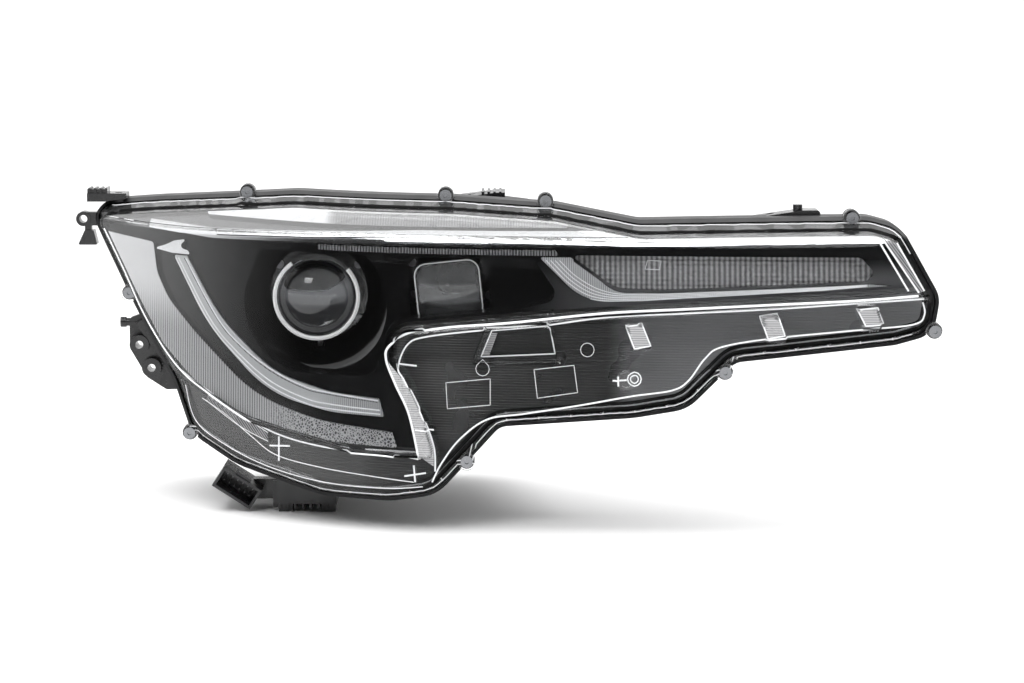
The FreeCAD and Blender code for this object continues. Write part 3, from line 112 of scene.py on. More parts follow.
class Finish:
    """One material and the node helpers that build it."""

    def __init__(self, name, color, roughness, metallic=0.0, **sockets):
        self.material = bpy.data.materials.new(name)
        self.material.use_nodes = True
        self.tree = self.material.node_tree
        self.shader = self.tree.nodes["Principled BSDF"]
        self.shader.inputs["Base Color"].default_value = (*color, 1)
        self.shader.inputs["Roughness"].default_value = roughness
        self.shader.inputs["Metallic"].default_value = metallic
        for socket, value in sockets.items():
            self.shader.inputs[socket.replace("_", " ")].default_value = value
        self.position = self.node("ShaderNodeTexCoord").outputs["Object"]
        self.height = None

    def node(self, kind, **settings):
        node = self.tree.nodes.new(kind)
        for setting, value in settings.items():
            setattr(node, setting, value)
        return node

    def link(self, output, socket):
        self.tree.links.new(output, socket)

    def math(self, operation, a, b=None):
        node = self.node("ShaderNodeMath", operation=operation)
        for socket, value in zip(node.inputs, (a, b)):
            if isinstance(value, (int, float)):
                socket.default_value = value
            elif value is not None:
                self.link(value, socket)
        return node.outputs[0]

    def along(self, direction):
        """Distance along a direction, in metres."""
        node = self.node("ShaderNodeVectorMath", operation="DOT_PRODUCT")
        self.link(self.position, node.inputs[0])
        node.inputs[1].default_value = direction
        return node.outputs["Value"]

    def ramp(self, value, start, stop, low=0.0, high=1.0):
        """Smooth step from low to high while value goes from start to stop."""
        node = self.node("ShaderNodeMapRange", interpolation_type="SMOOTHSTEP")
        for socket, number in (("From Min", start), ("From Max", stop), ("To Min", low), ("To Max", high)):
            node.inputs[socket].default_value = number
        self.link(value, node.inputs["Value"])
        return node.outputs[0]

    def grain(self, scale, detail=3.0):
        """Fine noise, 0 to 1, scale in lumps a metre."""
        node = self.node("ShaderNodeTexNoise")
        node.inputs["Scale"].default_value = scale
        node.inputs["Detail"].default_value = detail
        self.link(self.position, node.inputs["Vector"])
        return node.outputs["Fac"]

    def stripes(self, direction, pitch):
        """Smooth waves across a direction, 0 to 1."""
        turn = self.math("MULTIPLY", self.along(direction), 2 * math.pi / pitch)
        return self.math("MULTIPLY_ADD", self.math("SINE", turn), 0.5)

    def cells(self, size):
        """Distance to the nearest edge of cells of a size in metres."""
        node = self.node("ShaderNodeTexVoronoi", feature="DISTANCE_TO_EDGE")
        node.inputs["Scale"].default_value = 1 / size
        self.link(self.position, node.inputs["Vector"])
        return node.outputs["Distance"]

    def mix(self, share, a, b):
        """Two colours mixed by a share."""
        node = self.node("ShaderNodeMix", data_type="RGBA")
        self.link(share, node.inputs["Factor"])
        for socket, value in ((node.inputs["A"], a), (node.inputs["B"], b)):
            if isinstance(value, tuple):
                socket.default_value = (*value, 1)
            else:
                self.link(value, socket)
        return node.outputs["Result"]

    def colour(self, output):
        self.link(output, self.shader.inputs["Base Color"])
        return self

    def gloss(self, share, low, high):
        """Roughness that wanders between two values."""
        self.link(self.ramp(share, GRAIN_LOW, GRAIN_HIGH, low, high), self.shader.inputs["Roughness"])
        return self

    def glow(self, strength):
        self.shader.inputs["Emission Color"].default_value = WHITE
        self.shader.inputs["Emission Strength"].default_value = strength

    def bump(self, height, depth):
        """Relief of that depth in metres, on top of any relief already there."""
        node = self.node("ShaderNodeBump")
        node.inputs["Distance"].default_value = depth
        self.link(height, node.inputs["Height"])
        if self.height is not None:
            self.link(self.height, node.inputs["Normal"])
        self.height = node.outputs["Normal"]
        self.link(self.height, self.shader.inputs["Normal"])
        return self


def plastic(name, dark, light, rough_low, rough_high, grain=2500, depth=0.00002, **sockets):
    """Moulded plastic: slight mottling, wandering gloss, fine grain."""
    finish = Finish(name, dark, rough_low, **sockets)
    finish.colour(finish.mix(finish.grain(90, 4), dark, light))
    finish.gloss(finish.grain(60, 5), rough_low, rough_high)
    if depth:
        finish.bump(finish.grain(grain, 2), depth)
    return finish


def metal(name, color, rough_low, rough_high, grain=700, depth=0.0):
    """Bare metal: faint staining, wandering gloss, and fine relief where a depth is given."""
    finish = Finish(name, color, rough_low, metallic=1.0)
    worn = tuple(0.88 * c for c in color)
    finish.colour(finish.mix(finish.grain(140, 4), color, worn))
    finish.gloss(finish.grain(grain, 3), rough_low, rough_high)
    if depth:
        finish.bump(finish.grain(grain * 3, 2), depth)
    return finish


def clear(name, color, roughness, ior=1.5, depth=0.000004):
    """Clear moulded material with a faint ripple."""
    finish = Finish(name, color, roughness, Transmission_Weight=1.0, IOR=ior)
    finish.colour(finish.mix(finish.grain(12, 2), color, tuple(0.98 * c for c in color)))
    finish.bump(finish.grain(160, 2), depth)
    return finish


def wear(names, finish):
    """Gives a finish to CAD nodes."""
    for name in names.split():
        node = NODES[name]
        if not node.material_slots:
            node.data.materials.append(finish.material)
        for slot in node.material_slots:
            slot.link = "OBJECT"
            slot.material = finish.material


X, Y, Z = (1, 0, 0), (0, 1, 0), (0, 0, 1)
DEEP_BLACK = (0.006, 0.006, 0.0065)
LENS_CLEAR = clear("lens_polycarbonate", (0.97, 0.975, 0.98), 0.0, ior=1.45)
wear("outer_lens", LENS_CLEAR)

PIANO = plastic("piano_black", (0.0025, 0.0025, 0.003), (0.0035, 0.0035, 0.004), 0.05, 0.09, depth=0)
wear("projector_shroud", PIANO)

BEZEL = Finish("bezel_black_with_painted_reflection", (0.02, 0.02, 0.02), 0.2, Specular_IOR_Level=0.3)
# Painted reflection: the grey towards the inboard end and below the top band stands for a reflection; the rest is
# the bezel's own deep black.
reflection_inboard_share = BEZEL.ramp(BEZEL.along(X), 0.02, 0.12)
reflection_low_share = BEZEL.ramp(BEZEL.along(Z), 0.225, 0.205)
BEZEL.colour(BEZEL.mix(BEZEL.math("MULTIPLY", reflection_inboard_share, reflection_low_share), DEEP_BLACK, (0.11, 0.11, 0.113)))
BEZEL.gloss(BEZEL.grain(30, 1), 0.17, 0.23)
wear("main_bezel", BEZEL)

FLUTED = Finish("fluted_panel", (0.02, 0.02, 0.02), 0.35)
grey_end = FLUTED.ramp(FLUTED.along(X), 0.095, 0.125)
FLUTED.colour(FLUTED.mix(grey_end, DEEP_BLACK, (0.17, 0.17, 0.175)))
FLUTED.gloss(FLUTED.grain(25, 2), 0.27, 0.33)
FLUTED.bump(FLUTED.stripes(Z, 0.0021), 0.00022)
wear("lower_bezel", FLUTED)

HOUSING_BLACK = plastic("housing_black", (0.008, 0.008, 0.0085), (0.014, 0.014, 0.015), 0.40, 0.50,
                        grain=3000, Specular_IOR_Level=0.25)
wear("rear_housing vent_caps access_cover carrier_frame levelling_motor cooling_fan_frame "
     "shutter_solenoid cooling_fan_rotor", HOUSING_BLACK)
BRACKET_BLACK = plastic("bracket_black", DEEP_BLACK, (0.012, 0.012, 0.013), 0.16, 0.34, grain=2600, depth=0.00004)
wear("upper_outboard_bracket outboard_locator side_bracket upper_middle_bracket inboard_bracket "
     "main_connector turn_bulb_socket", BRACKET_BLACK)
DULL_BLACK = plastic("dull_black_bead", (0.003, 0.003, 0.0032), (0.006, 0.006, 0.0062), 0.7, 0.85, depth=0,
                     Specular_IOR_Level=0.05)
RUBBER = plastic("black_rubber", (0.010, 0.010, 0.010), (0.018, 0.018, 0.018), 0.55, 0.75,
                 grain=1800, depth=0.00005)
wear("lens_seal cover_seal", RUBBER)

CHROME = metal("chrome", (0.86, 0.865, 0.875), 0.03, 0.09)
wear("ridge_trim drl_end_cap low_beam_reflector high_beam_reflector", CHROME)
RING = metal("ring_silver_painted_glow", (0.93, 0.935, 0.94), 0.3, 0.36)
RING.shader.inputs["Metallic"].default_value = 0.0
RING.shader.inputs["Coat Weight"].default_value = 1.0
# Painted light: the emission makes the ring glow, standing for the bright reflection a metallised ring shows,
# though it is no lamp.
RING.glow(0.35)
wear("low_beam_ring", RING)
SATIN = metal("metallised_satin", (0.72, 0.725, 0.735), 0.16, 0.28)
wear("drl_reflector side_marker_reflector turn_signal_reflector", SATIN)

GARNISH = Finish("fluted_silver", (0.45, 0.45, 0.46), 0.25)
grey_ribs = GARNISH.mix(GARNISH.stripes(X, 0.0022), (0.05, 0.05, 0.052), (0.22, 0.22, 0.225))
GARNISH.colour(GARNISH.mix(GARNISH.ramp(GARNISH.along(X), -0.140, -0.125), (0.72, 0.72, 0.73), grey_ribs))
GARNISH.gloss(GARNISH.grain(60, 2), 0.25, 0.34)
wear("top_garnish", GARNISH)
RIBBED = Finish("ribbed_strip", (0.1, 0.1, 0.1), 0.3)
RIBBED.colour(RIBBED.mix(RIBBED.stripes(X, 0.0024), (0.02, 0.02, 0.02), (0.28, 0.28, 0.29)))
RIBBED.gloss(RIBBED.grain(120, 3), 0.2, 0.35).bump(RIBBED.stripes(X, 0.0024), 0.0006)
wear("ribbed_trim", RIBBED)

GUIDE = Finish("light_guide_acrylic", (0.7, 0.71, 0.72), 0.22, Transmission_Weight=0.12, IOR=1.49,
               Coat_Weight=0.6, Coat_Roughness=0.05)
rib_end = GUIDE.math("MULTIPLY", GUIDE.ramp(GUIDE.along(X), -0.15, -0.10), GUIDE.stripes(X, 0.0017))
GUIDE.colour(GUIDE.mix(rib_end, GUIDE.mix(GUIDE.grain(22, 2), (0.58, 0.59, 0.60), (0.68, 0.69, 0.70)),
                       (0.30, 0.30, 0.31)))
GUIDE.gloss(GUIDE.grain(40, 2), 0.18, 0.26)
wear("drl_light_guide inboard_light_guide", GUIDE)

MARKER = Finish("marker_acrylic", (0.8, 0.8, 0.81), 0.2, Transmission_Weight=0.12, IOR=1.49, Coat_Weight=0.5)
ribs = MARKER.mix(MARKER.stripes(X, 0.0021), (0.16, 0.16, 0.165), (0.62, 0.62, 0.63))
cells = MARKER.mix(MARKER.ramp(MARKER.cells(0.0022), 0.02, 0.25), (0.60, 0.60, 0.61), (0.08, 0.08, 0.085))
low_part = MARKER.mix(MARKER.ramp(MARKER.along(X), -0.19, -0.15), ribs, cells)
# Painted reflection: the pale top of the marker lens; the ribs and honeycomb cells below are the lens's own
# pattern.
MARKER.colour(MARKER.mix(MARKER.ramp(MARKER.along(Z), 0.145, 0.195), low_part, (0.90, 0.90, 0.91)))
MARKER.gloss(MARKER.grain(40, 2), 0.14, 0.22)
wear("side_marker_lens", MARKER)

PILLOW = Finish("pillow_acrylic", (0.75, 0.75, 0.76), 0.12, Transmission_Weight=0.35, IOR=1.49)
PILLOW.colour(PILLOW.mix(PILLOW.stripes(X, 0.0042), (0.26, 0.26, 0.27), (0.80, 0.80, 0.81)))
PILLOW.gloss(PILLOW.grain(90, 3), 0.1, 0.2)
PILLOW.bump(PILLOW.stripes(X, 0.0042), 0.0010).bump(PILLOW.stripes(Z, 0.0036), 0.0008)
wear("turn_signal_lens", PILLOW)

OPTIC = clear("projector_optic", (0.95, 0.96, 0.97), 0.0, ior=1.58, depth=0.000001)
wear("low_beam_lens high_beam_lens", OPTIC)
BARREL = plastic("barrel_black", (0.003, 0.003, 0.0032), (0.006, 0.006, 0.0064), 0.10, 0.2,
                 grain=1500, depth=0.00001)
wear("low_beam_lens_holder high_beam_holder", BARREL)
AMBER = clear("amber_glass", (0.85, 0.42, 0.08), 0.02)
wear("turn_bulb", AMBER)

BOARD = plastic("circuit_board", (0.62, 0.63, 0.62), (0.7, 0.71, 0.7), 0.35, 0.5,
                grain=900, depth=0.00003)
wear("drl_led_board inboard_led_board", BOARD)
BLACK_BOARD = plastic("black_circuit_board", (0.010, 0.010, 0.011), (0.016, 0.016, 0.017), 0.25, 0.4)
wear("low_beam_led_board high_beam_led_board", BLACK_BOARD)
STEEL = metal("zinc_plated_steel", (0.70, 0.71, 0.73), 0.18, 0.34, grain=900, depth=0.00001)
wear("driver_screws pivot_ball_studs solenoid_plunger", STEEL)
# Painted shade: the lens screws are chrome domes, given a darker steel colour to stand for the dark reflections
# they show.
SCREW = metal("screw_steel_painted_dark", (0.22, 0.225, 0.235), 0.16, 0.28, grain=900, depth=0.00001)
wear("lens_screws", SCREW)
# On the connector pins this dark colour is painted shade, for pins that sit in shadow; the same dark steel also
# finishes the cutoff shutter and module screws.
DARK_STEEL = metal("dark_steel_and_painted_shade", (0.16, 0.16, 0.165), 0.28, 0.42, grain=900, depth=0.00001)
wear("cutoff_shutter connector_pins module_screws", DARK_STEEL)
CAST = metal("cast_aluminium", (0.56, 0.565, 0.575), 0.32, 0.5, grain=1200, depth=0.00003)
wear("low_beam_heat_sink high_beam_heat_sink", CAST)
COATED = plastic("coated_die_casting", (0.012, 0.012, 0.013), (0.02, 0.02, 0.021), 0.28, 0.42,
                 grain=2200, depth=0.00006)
wear("led_driver_module", COATED)
ACETAL = plastic("natural_acetal", (0.36, 0.355, 0.33), (0.44, 0.435, 0.41), 0.3, 0.42)
wear("levelling_rod manual_adjuster", ACETAL)


# ----------------------------------------------------------------------------------------------------
# Beads, strips and panels laid on the surfaces of the CAD pieces, placed by (x, z) in millimetres: most beads are
# painted highlights along the lens edges and features, a few are painted shade or a painted reflection, and the
# strips are ribbed or frosted walls and windows
# ----------------------------------------------------------------------------------------------------
MM = 0.001
BEFORE_LAMP = -0.4  # y from which rays are cast at the lamp, in metres
BEAD_LIFT = 0.05
BEAD_PROFILE = [(-0.5, -0.3), (-0.42, 0.5), (0, 1), (0.42, 0.5), (0.5, -0.3)]  # shares of width and height
STRIP_ROWS = 6


def surface(names):
    """Ray-casting tree over the meshes of some CAD nodes."""
    corners, faces = [], []
    for name in names.split():
        mesh = NODES[name].data
        start = len(corners)
        corners += [vertex.co.copy() for vertex in mesh.vertices]
        faces += [[start + i for i in polygon.vertices] for polygon in mesh.polygons]
    return BVHTree.FromPolygons(corners, faces)


LENS = surface("outer_lens")
GUIDES = surface("drl_light_guide inboard_light_guide")


def curve_through(points, closed=False, pitch=2.0):
    """Smooth line through points, with a point about every pitch."""
    count = len(points)
    pick = (lambda i: points[i % count]) if closed else (lambda i: points[min(max(i, 0), count - 1)])
    line = []
    for i in range(count if closed else count - 1):
        a, b, c, d = (Vector(pick(i + k)) for k in (-1, 0, 1, 2))
        steps = max(1, round((c - b).length / pitch))
        for k in range(steps):
            t = k / steps
            line.append(0.5 * (2 * b + (c - a) * t + (2 * a - 5 * b + 4 * c - d) * t ** 2
                               + (3 * b - a - 3 * c + d) * t ** 3))
    return line if closed else line + [Vector(points[-1])]


def straight_through(points, closed=False, pitch=2.0):
    """Line with sharp corners through points, with a point about every pitch."""
    ends = points[1:] + points[:1] if closed else points[1:]
    line = []
    for a, b in zip(points, ends):
        a, b = Vector(a), Vector(b)
        steps = max(1, round((b - a).length / pitch))
        line += [a.lerp(b, k / steps) for k in range(steps)]
    return line if closed else line + [Vector(points[-1])]


def cast(tree, x, z):
    """Place and normal where a surface is first met from the front, or None twice."""
    return tree.ray_cast(Vector((x * MM, BEFORE_LAMP, z * MM)), Vector(Y))[:2]


def drape(line, tree, lift):
    """Places and outward directions on a surface seen from the front, for points (x, z)."""
    laid = []
    for point in line:
        place, normal = cast(tree, point[0], point[1])
        if place is None:
            continue
        normal = -normal if normal.y > 0 else normal
        laid.append((place + normal * lift * MM, normal))
    return laid


def solid(name, corners, faces, finish, body=HOUSING):
    """A mesh object that rides on a body and belongs to a slot."""
    mesh = bpy.data.meshes.new(name)
    mesh.from_pydata(corners, [], faces)
    mesh.validate()
    piece = bpy.data.objects.new(name, mesh)
    scene.collection.objects.link(piece)
    mesh.materials.append(finish.material)
    mesh.shade_smooth()
    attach(piece, body)


def bead(corners, faces, laid, width, height, closed=False):
    """Adds a half-round bead along laid places to a mesh in the making."""
    count, start = len(laid), len(corners)
    for i, (place, normal) in enumerate(laid):
        before = laid[i - 1][0] if closed or i else place
        after = laid[(i + 1) % count][0] if closed or i < count - 1 else place
        across = (after - before).cross(normal)
        across = across.normalized() if across.length > 1e-9 else Vector(Z)
        corners += [place + (across * width * side + normal * height * up) * MM for side, up in BEAD_PROFILE]
    sides = len(BEAD_PROFILE)
    for i in range(count if closed else count - 1):
        a, b = start + i * sides, start + (i + 1) % count * sides
        faces += [(a + k, a + (k + 1) % sides, b + (k + 1) % sides, b + k) for k in range(sides)]
    if not closed:
        faces += [tuple(range(start + sides - 1, start - 1, -1)),
                  tuple(range(start + (count - 1) * sides, start + count * sides))]


def beads(name, strokes, tree, width, height, finish, closed=False, smooth=True, body=HOUSING):
    """One piece of several beads laid on a surface, each along a smooth or a straight-sided line."""
    corners, faces = [], []
    for points in strokes:
        line = curve_through(points, closed) if smooth else straight_through(points, closed)
        laid = drape(line, tree, BEAD_LIFT)
        if len(laid) > 1:
            bead(corners, faces, laid, width, height, closed)
    solid(name, corners, faces, finish, body)


def between(side_a, side_b, share):
    """Line part of the way from one line to another, both with the same number of points."""
    return [tuple(Vector(a).lerp(Vector(b), share)) for a, b in zip(side_a, side_b)]


def even(points, count):
    """A smooth line's points, spaced evenly."""
    line = curve_through(points, pitch=1.0)
    return [line[round(i * (len(line) - 1) / (count - 1))] for i in range(count)]


def strip(name, side_a, side_b, finish, count=60, lift=0.3, thick=0.5):
    """Thin plate between two lines laid on the outer lens."""
    a_line, b_line = even(side_a, count), even(side_b, count)
    corners, faces = [], []
    for level in (lift, lift - thick):
        for row in range(STRIP_ROWS + 1):
            line = [a.lerp(b, row / STRIP_ROWS) for a, b in zip(a_line, b_line)]
            laid = drape(line, LENS, level)
            if len(laid) != count:
                raise ValueError(f"{name} leaves its surface")
            corners += [place for place, _ in laid]
    layer = (STRIP_ROWS + 1) * count
    for row in range(STRIP_ROWS):
        for i in range(count - 1):
            a = row * count + i
            quad = (a, a + 1, a + count + 1, a + count)
            faces += [quad, tuple(layer + k for k in reversed(quad))]
    rim = list(range(count)) + [r * count + count - 1 for r in range(1, STRIP_ROWS + 1)]
    rim += [STRIP_ROWS * count + i for i in range(count - 2, -1, -1)]
    rim += [r * count for r in range(STRIP_ROWS - 1, 0, -1)]
    faces += [(b, a, layer + a, layer + b) for a, b in zip(rim, rim[1:] + rim[:1])]
    solid(name, corners, faces, finish)


# Painted highlight: beads in this finish stand for the bright lines that light draws along the lens edges, steps
# and the features behind the lens, and the emission makes them glow though they are no lamp.
EDGE_HIGHLIGHT = Finish("painted_edge_highlight", (0.82, 0.83, 0.85), 0.12, Transmission_Weight=0.3, IOR=1.5)
EDGE_HIGHLIGHT.colour(EDGE_HIGHLIGHT.mix(EDGE_HIGHLIGHT.grain(180, 3), (0.72, 0.73, 0.75), (0.92, 0.93, 0.95)))
EDGE_HIGHLIGHT.gloss(EDGE_HIGHLIGHT.grain(300, 3), 0.08, 0.2)
EDGE_HIGHLIGHT.glow(0.22)
FROST = Finish("frosted_wall", (0.6, 0.6, 0.61), 0.3, Transmission_Weight=0.3, IOR=1.5)
FROST.colour(FROST.mix(FROST.stripes(Z, 0.0018), (0.36, 0.36, 0.37), (0.68, 0.68, 0.69)))
FROST.gloss(FROST.grain(60, 2), 0.2, 0.34)
SHADE = Finish("smoked_ribs", (0.2, 0.2, 0.2), 0.3, IOR=1.5)
SHADE.colour(SHADE.mix(SHADE.stripes((0.8, 0, 0.6), 0.0018), (0.05, 0.05, 0.052), (0.32, 0.32, 0.33)))
SHADE.gloss(SHADE.grain(60, 2), 0.2, 0.34)

STEP_OUTER = [(-55.0, 60.3), (-63.4, 97.5), (-74.7, 121.5), (-82.3, 140.6), (-79.8, 151.7), (-62.6, 161.8),
              (-32.3, 168.0), (17.2, 172.6), (94.1, 181.3), (161.4, 185.4), (228.5, 189.3), (295.4, 193.0),
              (344.6, 197.0)]
STEP_INNER = [(-42.4, 51.0), (-43.7, 71.8), (-54.7, 100.1), (-67.2, 124.2), (-72.5, 134.9), (-65.1, 151.9),
              (-50.1, 158.5), (-7.6, 164.5), (28.8, 166.9), (94.4, 176.4), (162.1, 180.6), (229.5, 184.5),
              (296.8, 189.4), (350.7, 193.3)]
SKIRT_LOW = [(-44.9, 42.3), (-37.5, 57.3), (-22.5, 77.4), (-0.1, 93.9), (29.6, 99.0), (71.7, 106.0),
             (116.9, 114.5), (148.4, 119.4), (161.9, 127.3), (175.4, 145.2), (188.9, 154.3), (228.5, 161.4),
             (296.6, 168.4), (341.5, 173.0), (350.8, 180.7), (349.6, 190.7)]
MARKER_LOW = [(-336.5, 228.0), (-317.0, 196.0), (-296.5, 160.0), (-275.2, 131.3), (-256.4, 113.2),
              (-235.1, 100.5), (-207.5, 86.0), (-176.2, 72.3), (-134.0, 65.1), (-82.2, 63.5), (-56.2, 60.3)]
FLANGE_LOW = [(-257.8, 103.1), (-247.7, 74.1), (-219.6, 57.2), (-181.5, 44.1), (-134.0, 36.4), (-82.7, 35.5),
              (-52.5, 38.3)]
INNER_LOW = [(-242.1, 94.0), (-219.7, 82.6), (-197.7, 67.5), (-176.1, 54.7), (-139.2, 48.4), (-95.4, 44.5),
             (-60.0, 41.6)]
# Painted highlights: the step, edge and fine lines along the lens edges.
beads("lens_step_line", [STEP_OUTER], LENS, width=2.0, height=0.7, finish=EDGE_HIGHLIGHT)
beads("lens_edge_lines", [STEP_INNER, SKIRT_LOW, MARKER_LOW], LENS, width=1.4, height=0.6, finish=EDGE_HIGHLIGHT)
beads("lens_fine_lines", [FLANGE_LOW, INNER_LOW], LENS, width=0.8, height=0.4, finish=EDGE_HIGHLIGHT)
WALL_OUTER = [(-56.0, 63.0), (-64.4, 98.0), (-74.2, 121.5), (-80.3, 138.6)]
WALL_INNER = [(-43.5, 55.0), (-44.7, 72.8), (-55.2, 100.6), (-68.2, 124.8)]
strip("lens_step_wall", WALL_OUTER, WALL_INNER, FROST)

RIB_STRIP = [[(-235.0, 99.5), (-207.5, 85.0), (-183.0, 72.0)],
             [(-238.5, 92.5), (-208.5, 75.0), (-183.0, 65.0)]]
strip("lower_ribbed_strip", RIB_STRIP[0], RIB_STRIP[1], SHADE, count=30, lift=0.2, thick=0.3)
# Painted highlight round the ribbed strip.
beads("lower_strip_frame", RIB_STRIP, LENS, width=0.8, height=0.4, finish=EDGE_HIGHLIGHT)


RIM_END = 348
RIM_PITCH = 2.0
RIM_PROBES, PROBE_PITCH = 500, 0.5


def rim_points(start, first_height, direction):
    """Edge of the lens seen from the front, (x, z) from outboard to inboard.

    Each column is probed from first_height, upward with direction 1 and downward with -1.
    """
    points = []
    x = start
    while x < RIM_END:
        for k in range(RIM_PROBES):
            z = first_height + direction * PROBE_PITCH * k
            if cast(LENS, x, z)[0] is not None:
                points.append((x, z))
                break
        x += RIM_PITCH
    return points


TAB_REACH = 7  # points on each side, wider than half a screw tab


def without_tabs(points, inner, outer):
    """The edge with its short screw tabs left out: inner and outer are min and max, or the reverse."""
    heights = [z for _, z in points]
    for choose in (inner, outer):
        heights = [choose(heights[max(i - TAB_REACH, 0):i + TAB_REACH + 1]) for i in range(len(heights))]
    return [(x, z) for (x, _), z in zip(points, heights)]


def inset(points, reach):
    """The line moved to its left by reach."""
    moved = []
    for i, (x, z) in enumerate(points):
        a, b = points[max(i - 2, 0)], points[min(i + 2, len(points) - 1)]
        way = Vector((b[0] - a[0], b[1] - a[1])).normalized()
        moved.append((x - way.y * reach, z + way.x * reach))
    return moved


LOW_RIM = without_tabs(rim_points(-256.0, 22, 1), max, min)
TOP_RIM = without_tabs(rim_points(-336.0, 270, -1), min, max)
# Painted highlights along the lower and top rim of the lens.
beads("rim_lines", [inset(LOW_RIM, 1.3)[::2], inset(LOW_RIM, 4.6)[::2], inset(TOP_RIM, -1.2)[::2]],
      LENS, width=0.9, height=0.5, finish=EDGE_HIGHLIGHT, smooth=False)
# Painted shade: a dark band along the top rim that stands for the black gap behind the lens top.
beads("top_painted_shade_band", [inset(TOP_RIM, -5.2)[4:-4:2]], LENS, width=5.6, height=0.5, finish=DULL_BLACK, smooth=False)
TICKED = slice(6, None, 13)
# Painted highlight ticks across the lower rim.
beads("rim_ticks", [[a, b] for a, b in zip(inset(LOW_RIM, 0.6)[TICKED], inset(LOW_RIM, 5.6)[TICKED])],
      LENS, width=1.0, height=0.6, finish=EDGE_HIGHLIGHT, smooth=False)

DRL_OUTER = [(-267, 209), (-237, 160), (-212, 134), (-182, 111), (-150, 99), (-128, 96), (-87, 94.5)]
DRL_INNER = [(-257, 209), (-227, 162), (-204, 140), (-178, 124), (-150, 113), (-130, 110), (-89, 106)]
# Painted highlights along the DRL light guide.
beads("drl_guide_lines", [between(DRL_OUTER, DRL_INNER, share) for share in (0.03, 0.30, 0.97)],
      GUIDES, width=1.2, height=0.6, finish=EDGE_HIGHLIGHT)
# Painted shade: a dark line along the DRL light guide.
beads("drl_dark_line", [between(DRL_OUTER, DRL_INNER, 0.86)],
      GUIDES, width=0.9, height=0.4, finish=SHADE)
JAY_OUTER = [(43.5, 221), (65.1, 200), (85.5, 190.2), (120, 189.8), (184.8, 193), (252.4, 198.0),
             (305, 202.6)]
JAY_INNER = [(60, 221), (74, 208.5), (94.5, 198.2), (121.6, 195.2), (184.9, 197.7), (252.3, 200.9),
             (305, 204)]
# Painted highlights along the inboard light guide.
beads("inboard_guide_lines", [between(JAY_OUTER, JAY_INNER, share) for share in (0.05, 0.26, 0.48, 0.70, 0.92)],
      GUIDES, width=0.8, height=0.6, finish=EDGE_HIGHLIGHT)

BARS = [[(312.5, 241.7), (336.8, 200.7)], [(317.2, 240.9), (345.0, 199.6)], [(328.0, 238.3), (349.3, 200.9)]]
# Painted highlights: bright bars at the inboard end of the lens.
beads("lens_end_bars", BARS, LENS, width=1.5, height=0.6, finish=EDGE_HIGHLIGHT)
strip("lens_end_panel", BARS[1], BARS[2], SHADE, count=20, lift=0.15, thick=0.3)
CLIPS = [[(111.5, 170.6), (124.5, 172.5), (131.3, 155.7), (118.4, 153.2)],
         [(219.1, 179.0), (232.9, 181.2), (238.6, 164.7), (225.1, 162.2)],
         [(296.5, 185.4), (312.5, 187.3), (318.0, 174.0), (302.9, 172.8)]]
# Painted highlights round the clips behind the lens.
beads("clip_frames", CLIPS, LENS, width=1.3, height=0.7, finish=EDGE_HIGHLIGHT, closed=True, smooth=False)
for number, (a, b, c, d) in enumerate(CLIPS, start=1):
    strip(f"clip_window_{number}", [a, d], [b, c], FROST, count=8, lift=0.2, thick=0.3)
POCKET_RIM = [[(-5.3, 141.7), (3.5, 162.7), (50.7, 167.4), (55.0, 145.2)]]
# Painted highlight round the pocket in the lens.
beads("pocket_rim", POCKET_RIM, LENS, width=1.1, height=0.5, finish=EDGE_HIGHLIGHT, closed=True, smooth=False)
strip("pocket_wall", [(-4.0, 143.0), (3.8, 161.0)], [(1.5, 143.0), (8.2, 161.0)], FROST,
      count=10, lift=0.2, thick=0.3)
FRAMES = [[(-33.7, 122.4), (2.3, 126.4), (2.3, 105.5), (-32.5, 101.6)],
          [(37.8, 134.4), (70.0, 138.3), (72.9, 116.7), (40.5, 111.7)]]
# Painted highlights round the frames behind the lens skirt.
beads("skirt_frames", FRAMES, LENS, width=0.5, height=0.25, finish=EDGE_HIGHLIGHT, closed=True, smooth=False)


def ring(x, z, radius):
    """Twelve points round a circle."""
    return [(x + radius * math.cos(math.radians(30 * i)), z + radius * math.sin(math.radians(30 * i)))
            for i in range(12)]


# Painted highlights on the rings behind the skirt.
beads("skirt_rings", [ring(-3.9, 134.1, 5.5), ring(80.8, 150.7, 5.5)],
      LENS, width=0.45, height=0.25, finish=EDGE_HIGHLIGHT, closed=True)
# The keyhole boss and lens bosses are real shapes; their bright glowing finish is a painted highlight.
beads("keyhole_boss", [ring(118.6, 128.1, 5.5), ring(118.6, 128.1, 3.2)],
      LENS, width=1.1, height=0.7, finish=EDGE_HIGHLIGHT, closed=True)
beads("lens_bosses", [
    [(101.1, 126.5), (112.4, 127.2)], [(105.5, 130.4), (105.6, 122.4)],
    [(-173.5, 70.1), (-173.5, 50.0)], [(-181.5, 61.7), (-164.0, 63.2)],
    [(-60.0, 55.2), (-58.7, 41.7)], [(-67.5, 46.2), (-50.0, 49.5)],
    [(-58.3, 85.5), (-43.5, 84.3)], [(-72.5, 136.2), (-57.6, 135.0)],
], LENS, width=1.5, height=0.9, finish=EDGE_HIGHLIGHT)


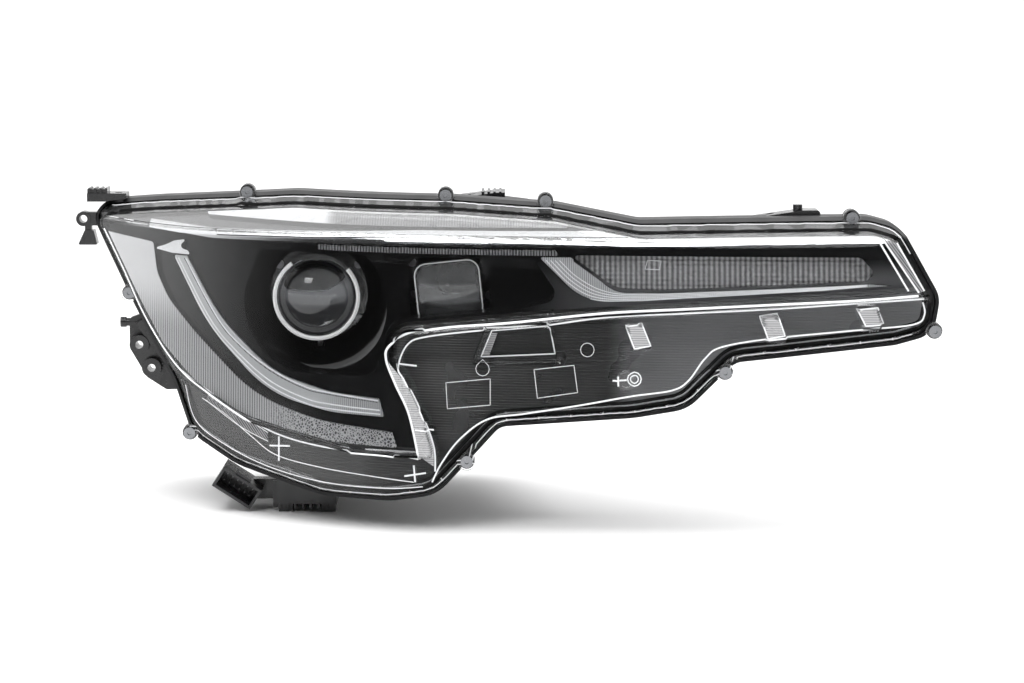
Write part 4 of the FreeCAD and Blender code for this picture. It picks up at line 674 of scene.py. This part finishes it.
def rolled_square(half_w, half_h, corner, roll, centre):
    """Rounded rectangle, turned in the front view."""
    points = []
    for quarter, (sx, sz) in enumerate(((1, 1), (-1, 1), (-1, -1), (1, -1))):
        for k in range(5):
            angle = math.radians(90 * quarter + 22.5 * k)
            x = sx * (half_w - corner) + corner * math.cos(angle)
            z = sz * (half_h - corner) + corner * math.sin(angle)
            points.append((centre[0] + x * math.cos(roll) - z * math.sin(roll),
                           centre[1] + x * math.sin(roll) + z * math.cos(roll)))
    return points


HIGH_BEAM_EDGE = rolled_square(half_w=26.6, half_h=24.6, corner=9.6, roll=math.radians(6), centre=(-32, 191))
# Painted highlight round the high beam holder.
beads("high_beam_outline", [HIGH_BEAM_EDGE], surface("high_beam_holder"), width=1.0, height=0.5, finish=EDGE_HIGHLIGHT,
      closed=True, smooth=False, body=CARRIER)
# Painted reflection: a dark line along the chrome ridge trim that splits its reflection into two bright bands.
beads("ridge_split_line", [[(-228, 231.8), (-160, 234.6), (-57, 237.6), (120, 237.9), (312, 240.2)]],
      surface("ridge_trim"), width=1.0, height=0.4, finish=DULL_BLACK)
# Painted highlight on the turn signal lens.
beads("turn_lens_mark", [[(128, 214), (130, 221), (141, 220.5), (139.5, 213.5)]], surface("turn_signal_lens"),
      width=0.7, height=0.4, finish=EDGE_HIGHLIGHT, closed=True, smooth=False)


# ----------------------------------------------------------------------------------------------------
# Floor
# ----------------------------------------------------------------------------------------------------
FLOOR_REACH, FLOOR_BACK = 4, 2.2
floor_mesh = bpy.data.meshes.new("floor")
floor_mesh.from_pydata([(-FLOOR_REACH, -FLOOR_REACH, 0), (FLOOR_REACH, -FLOOR_REACH, 0),
                        (FLOOR_REACH, FLOOR_BACK, 0), (-FLOOR_REACH, FLOOR_BACK, 0)], [], [(0, 1, 2, 3)])
floor = bpy.data.objects.new("floor", floor_mesh)
scene.collection.objects.link(floor)
PAPER = Finish("floor_paper", (0.88, 0.88, 0.88), 0.9)
PAPER.colour(PAPER.mix(PAPER.grain(3, 2), (0.87, 0.87, 0.87), (0.90, 0.90, 0.90)))
floor.data.materials.append(PAPER.material)
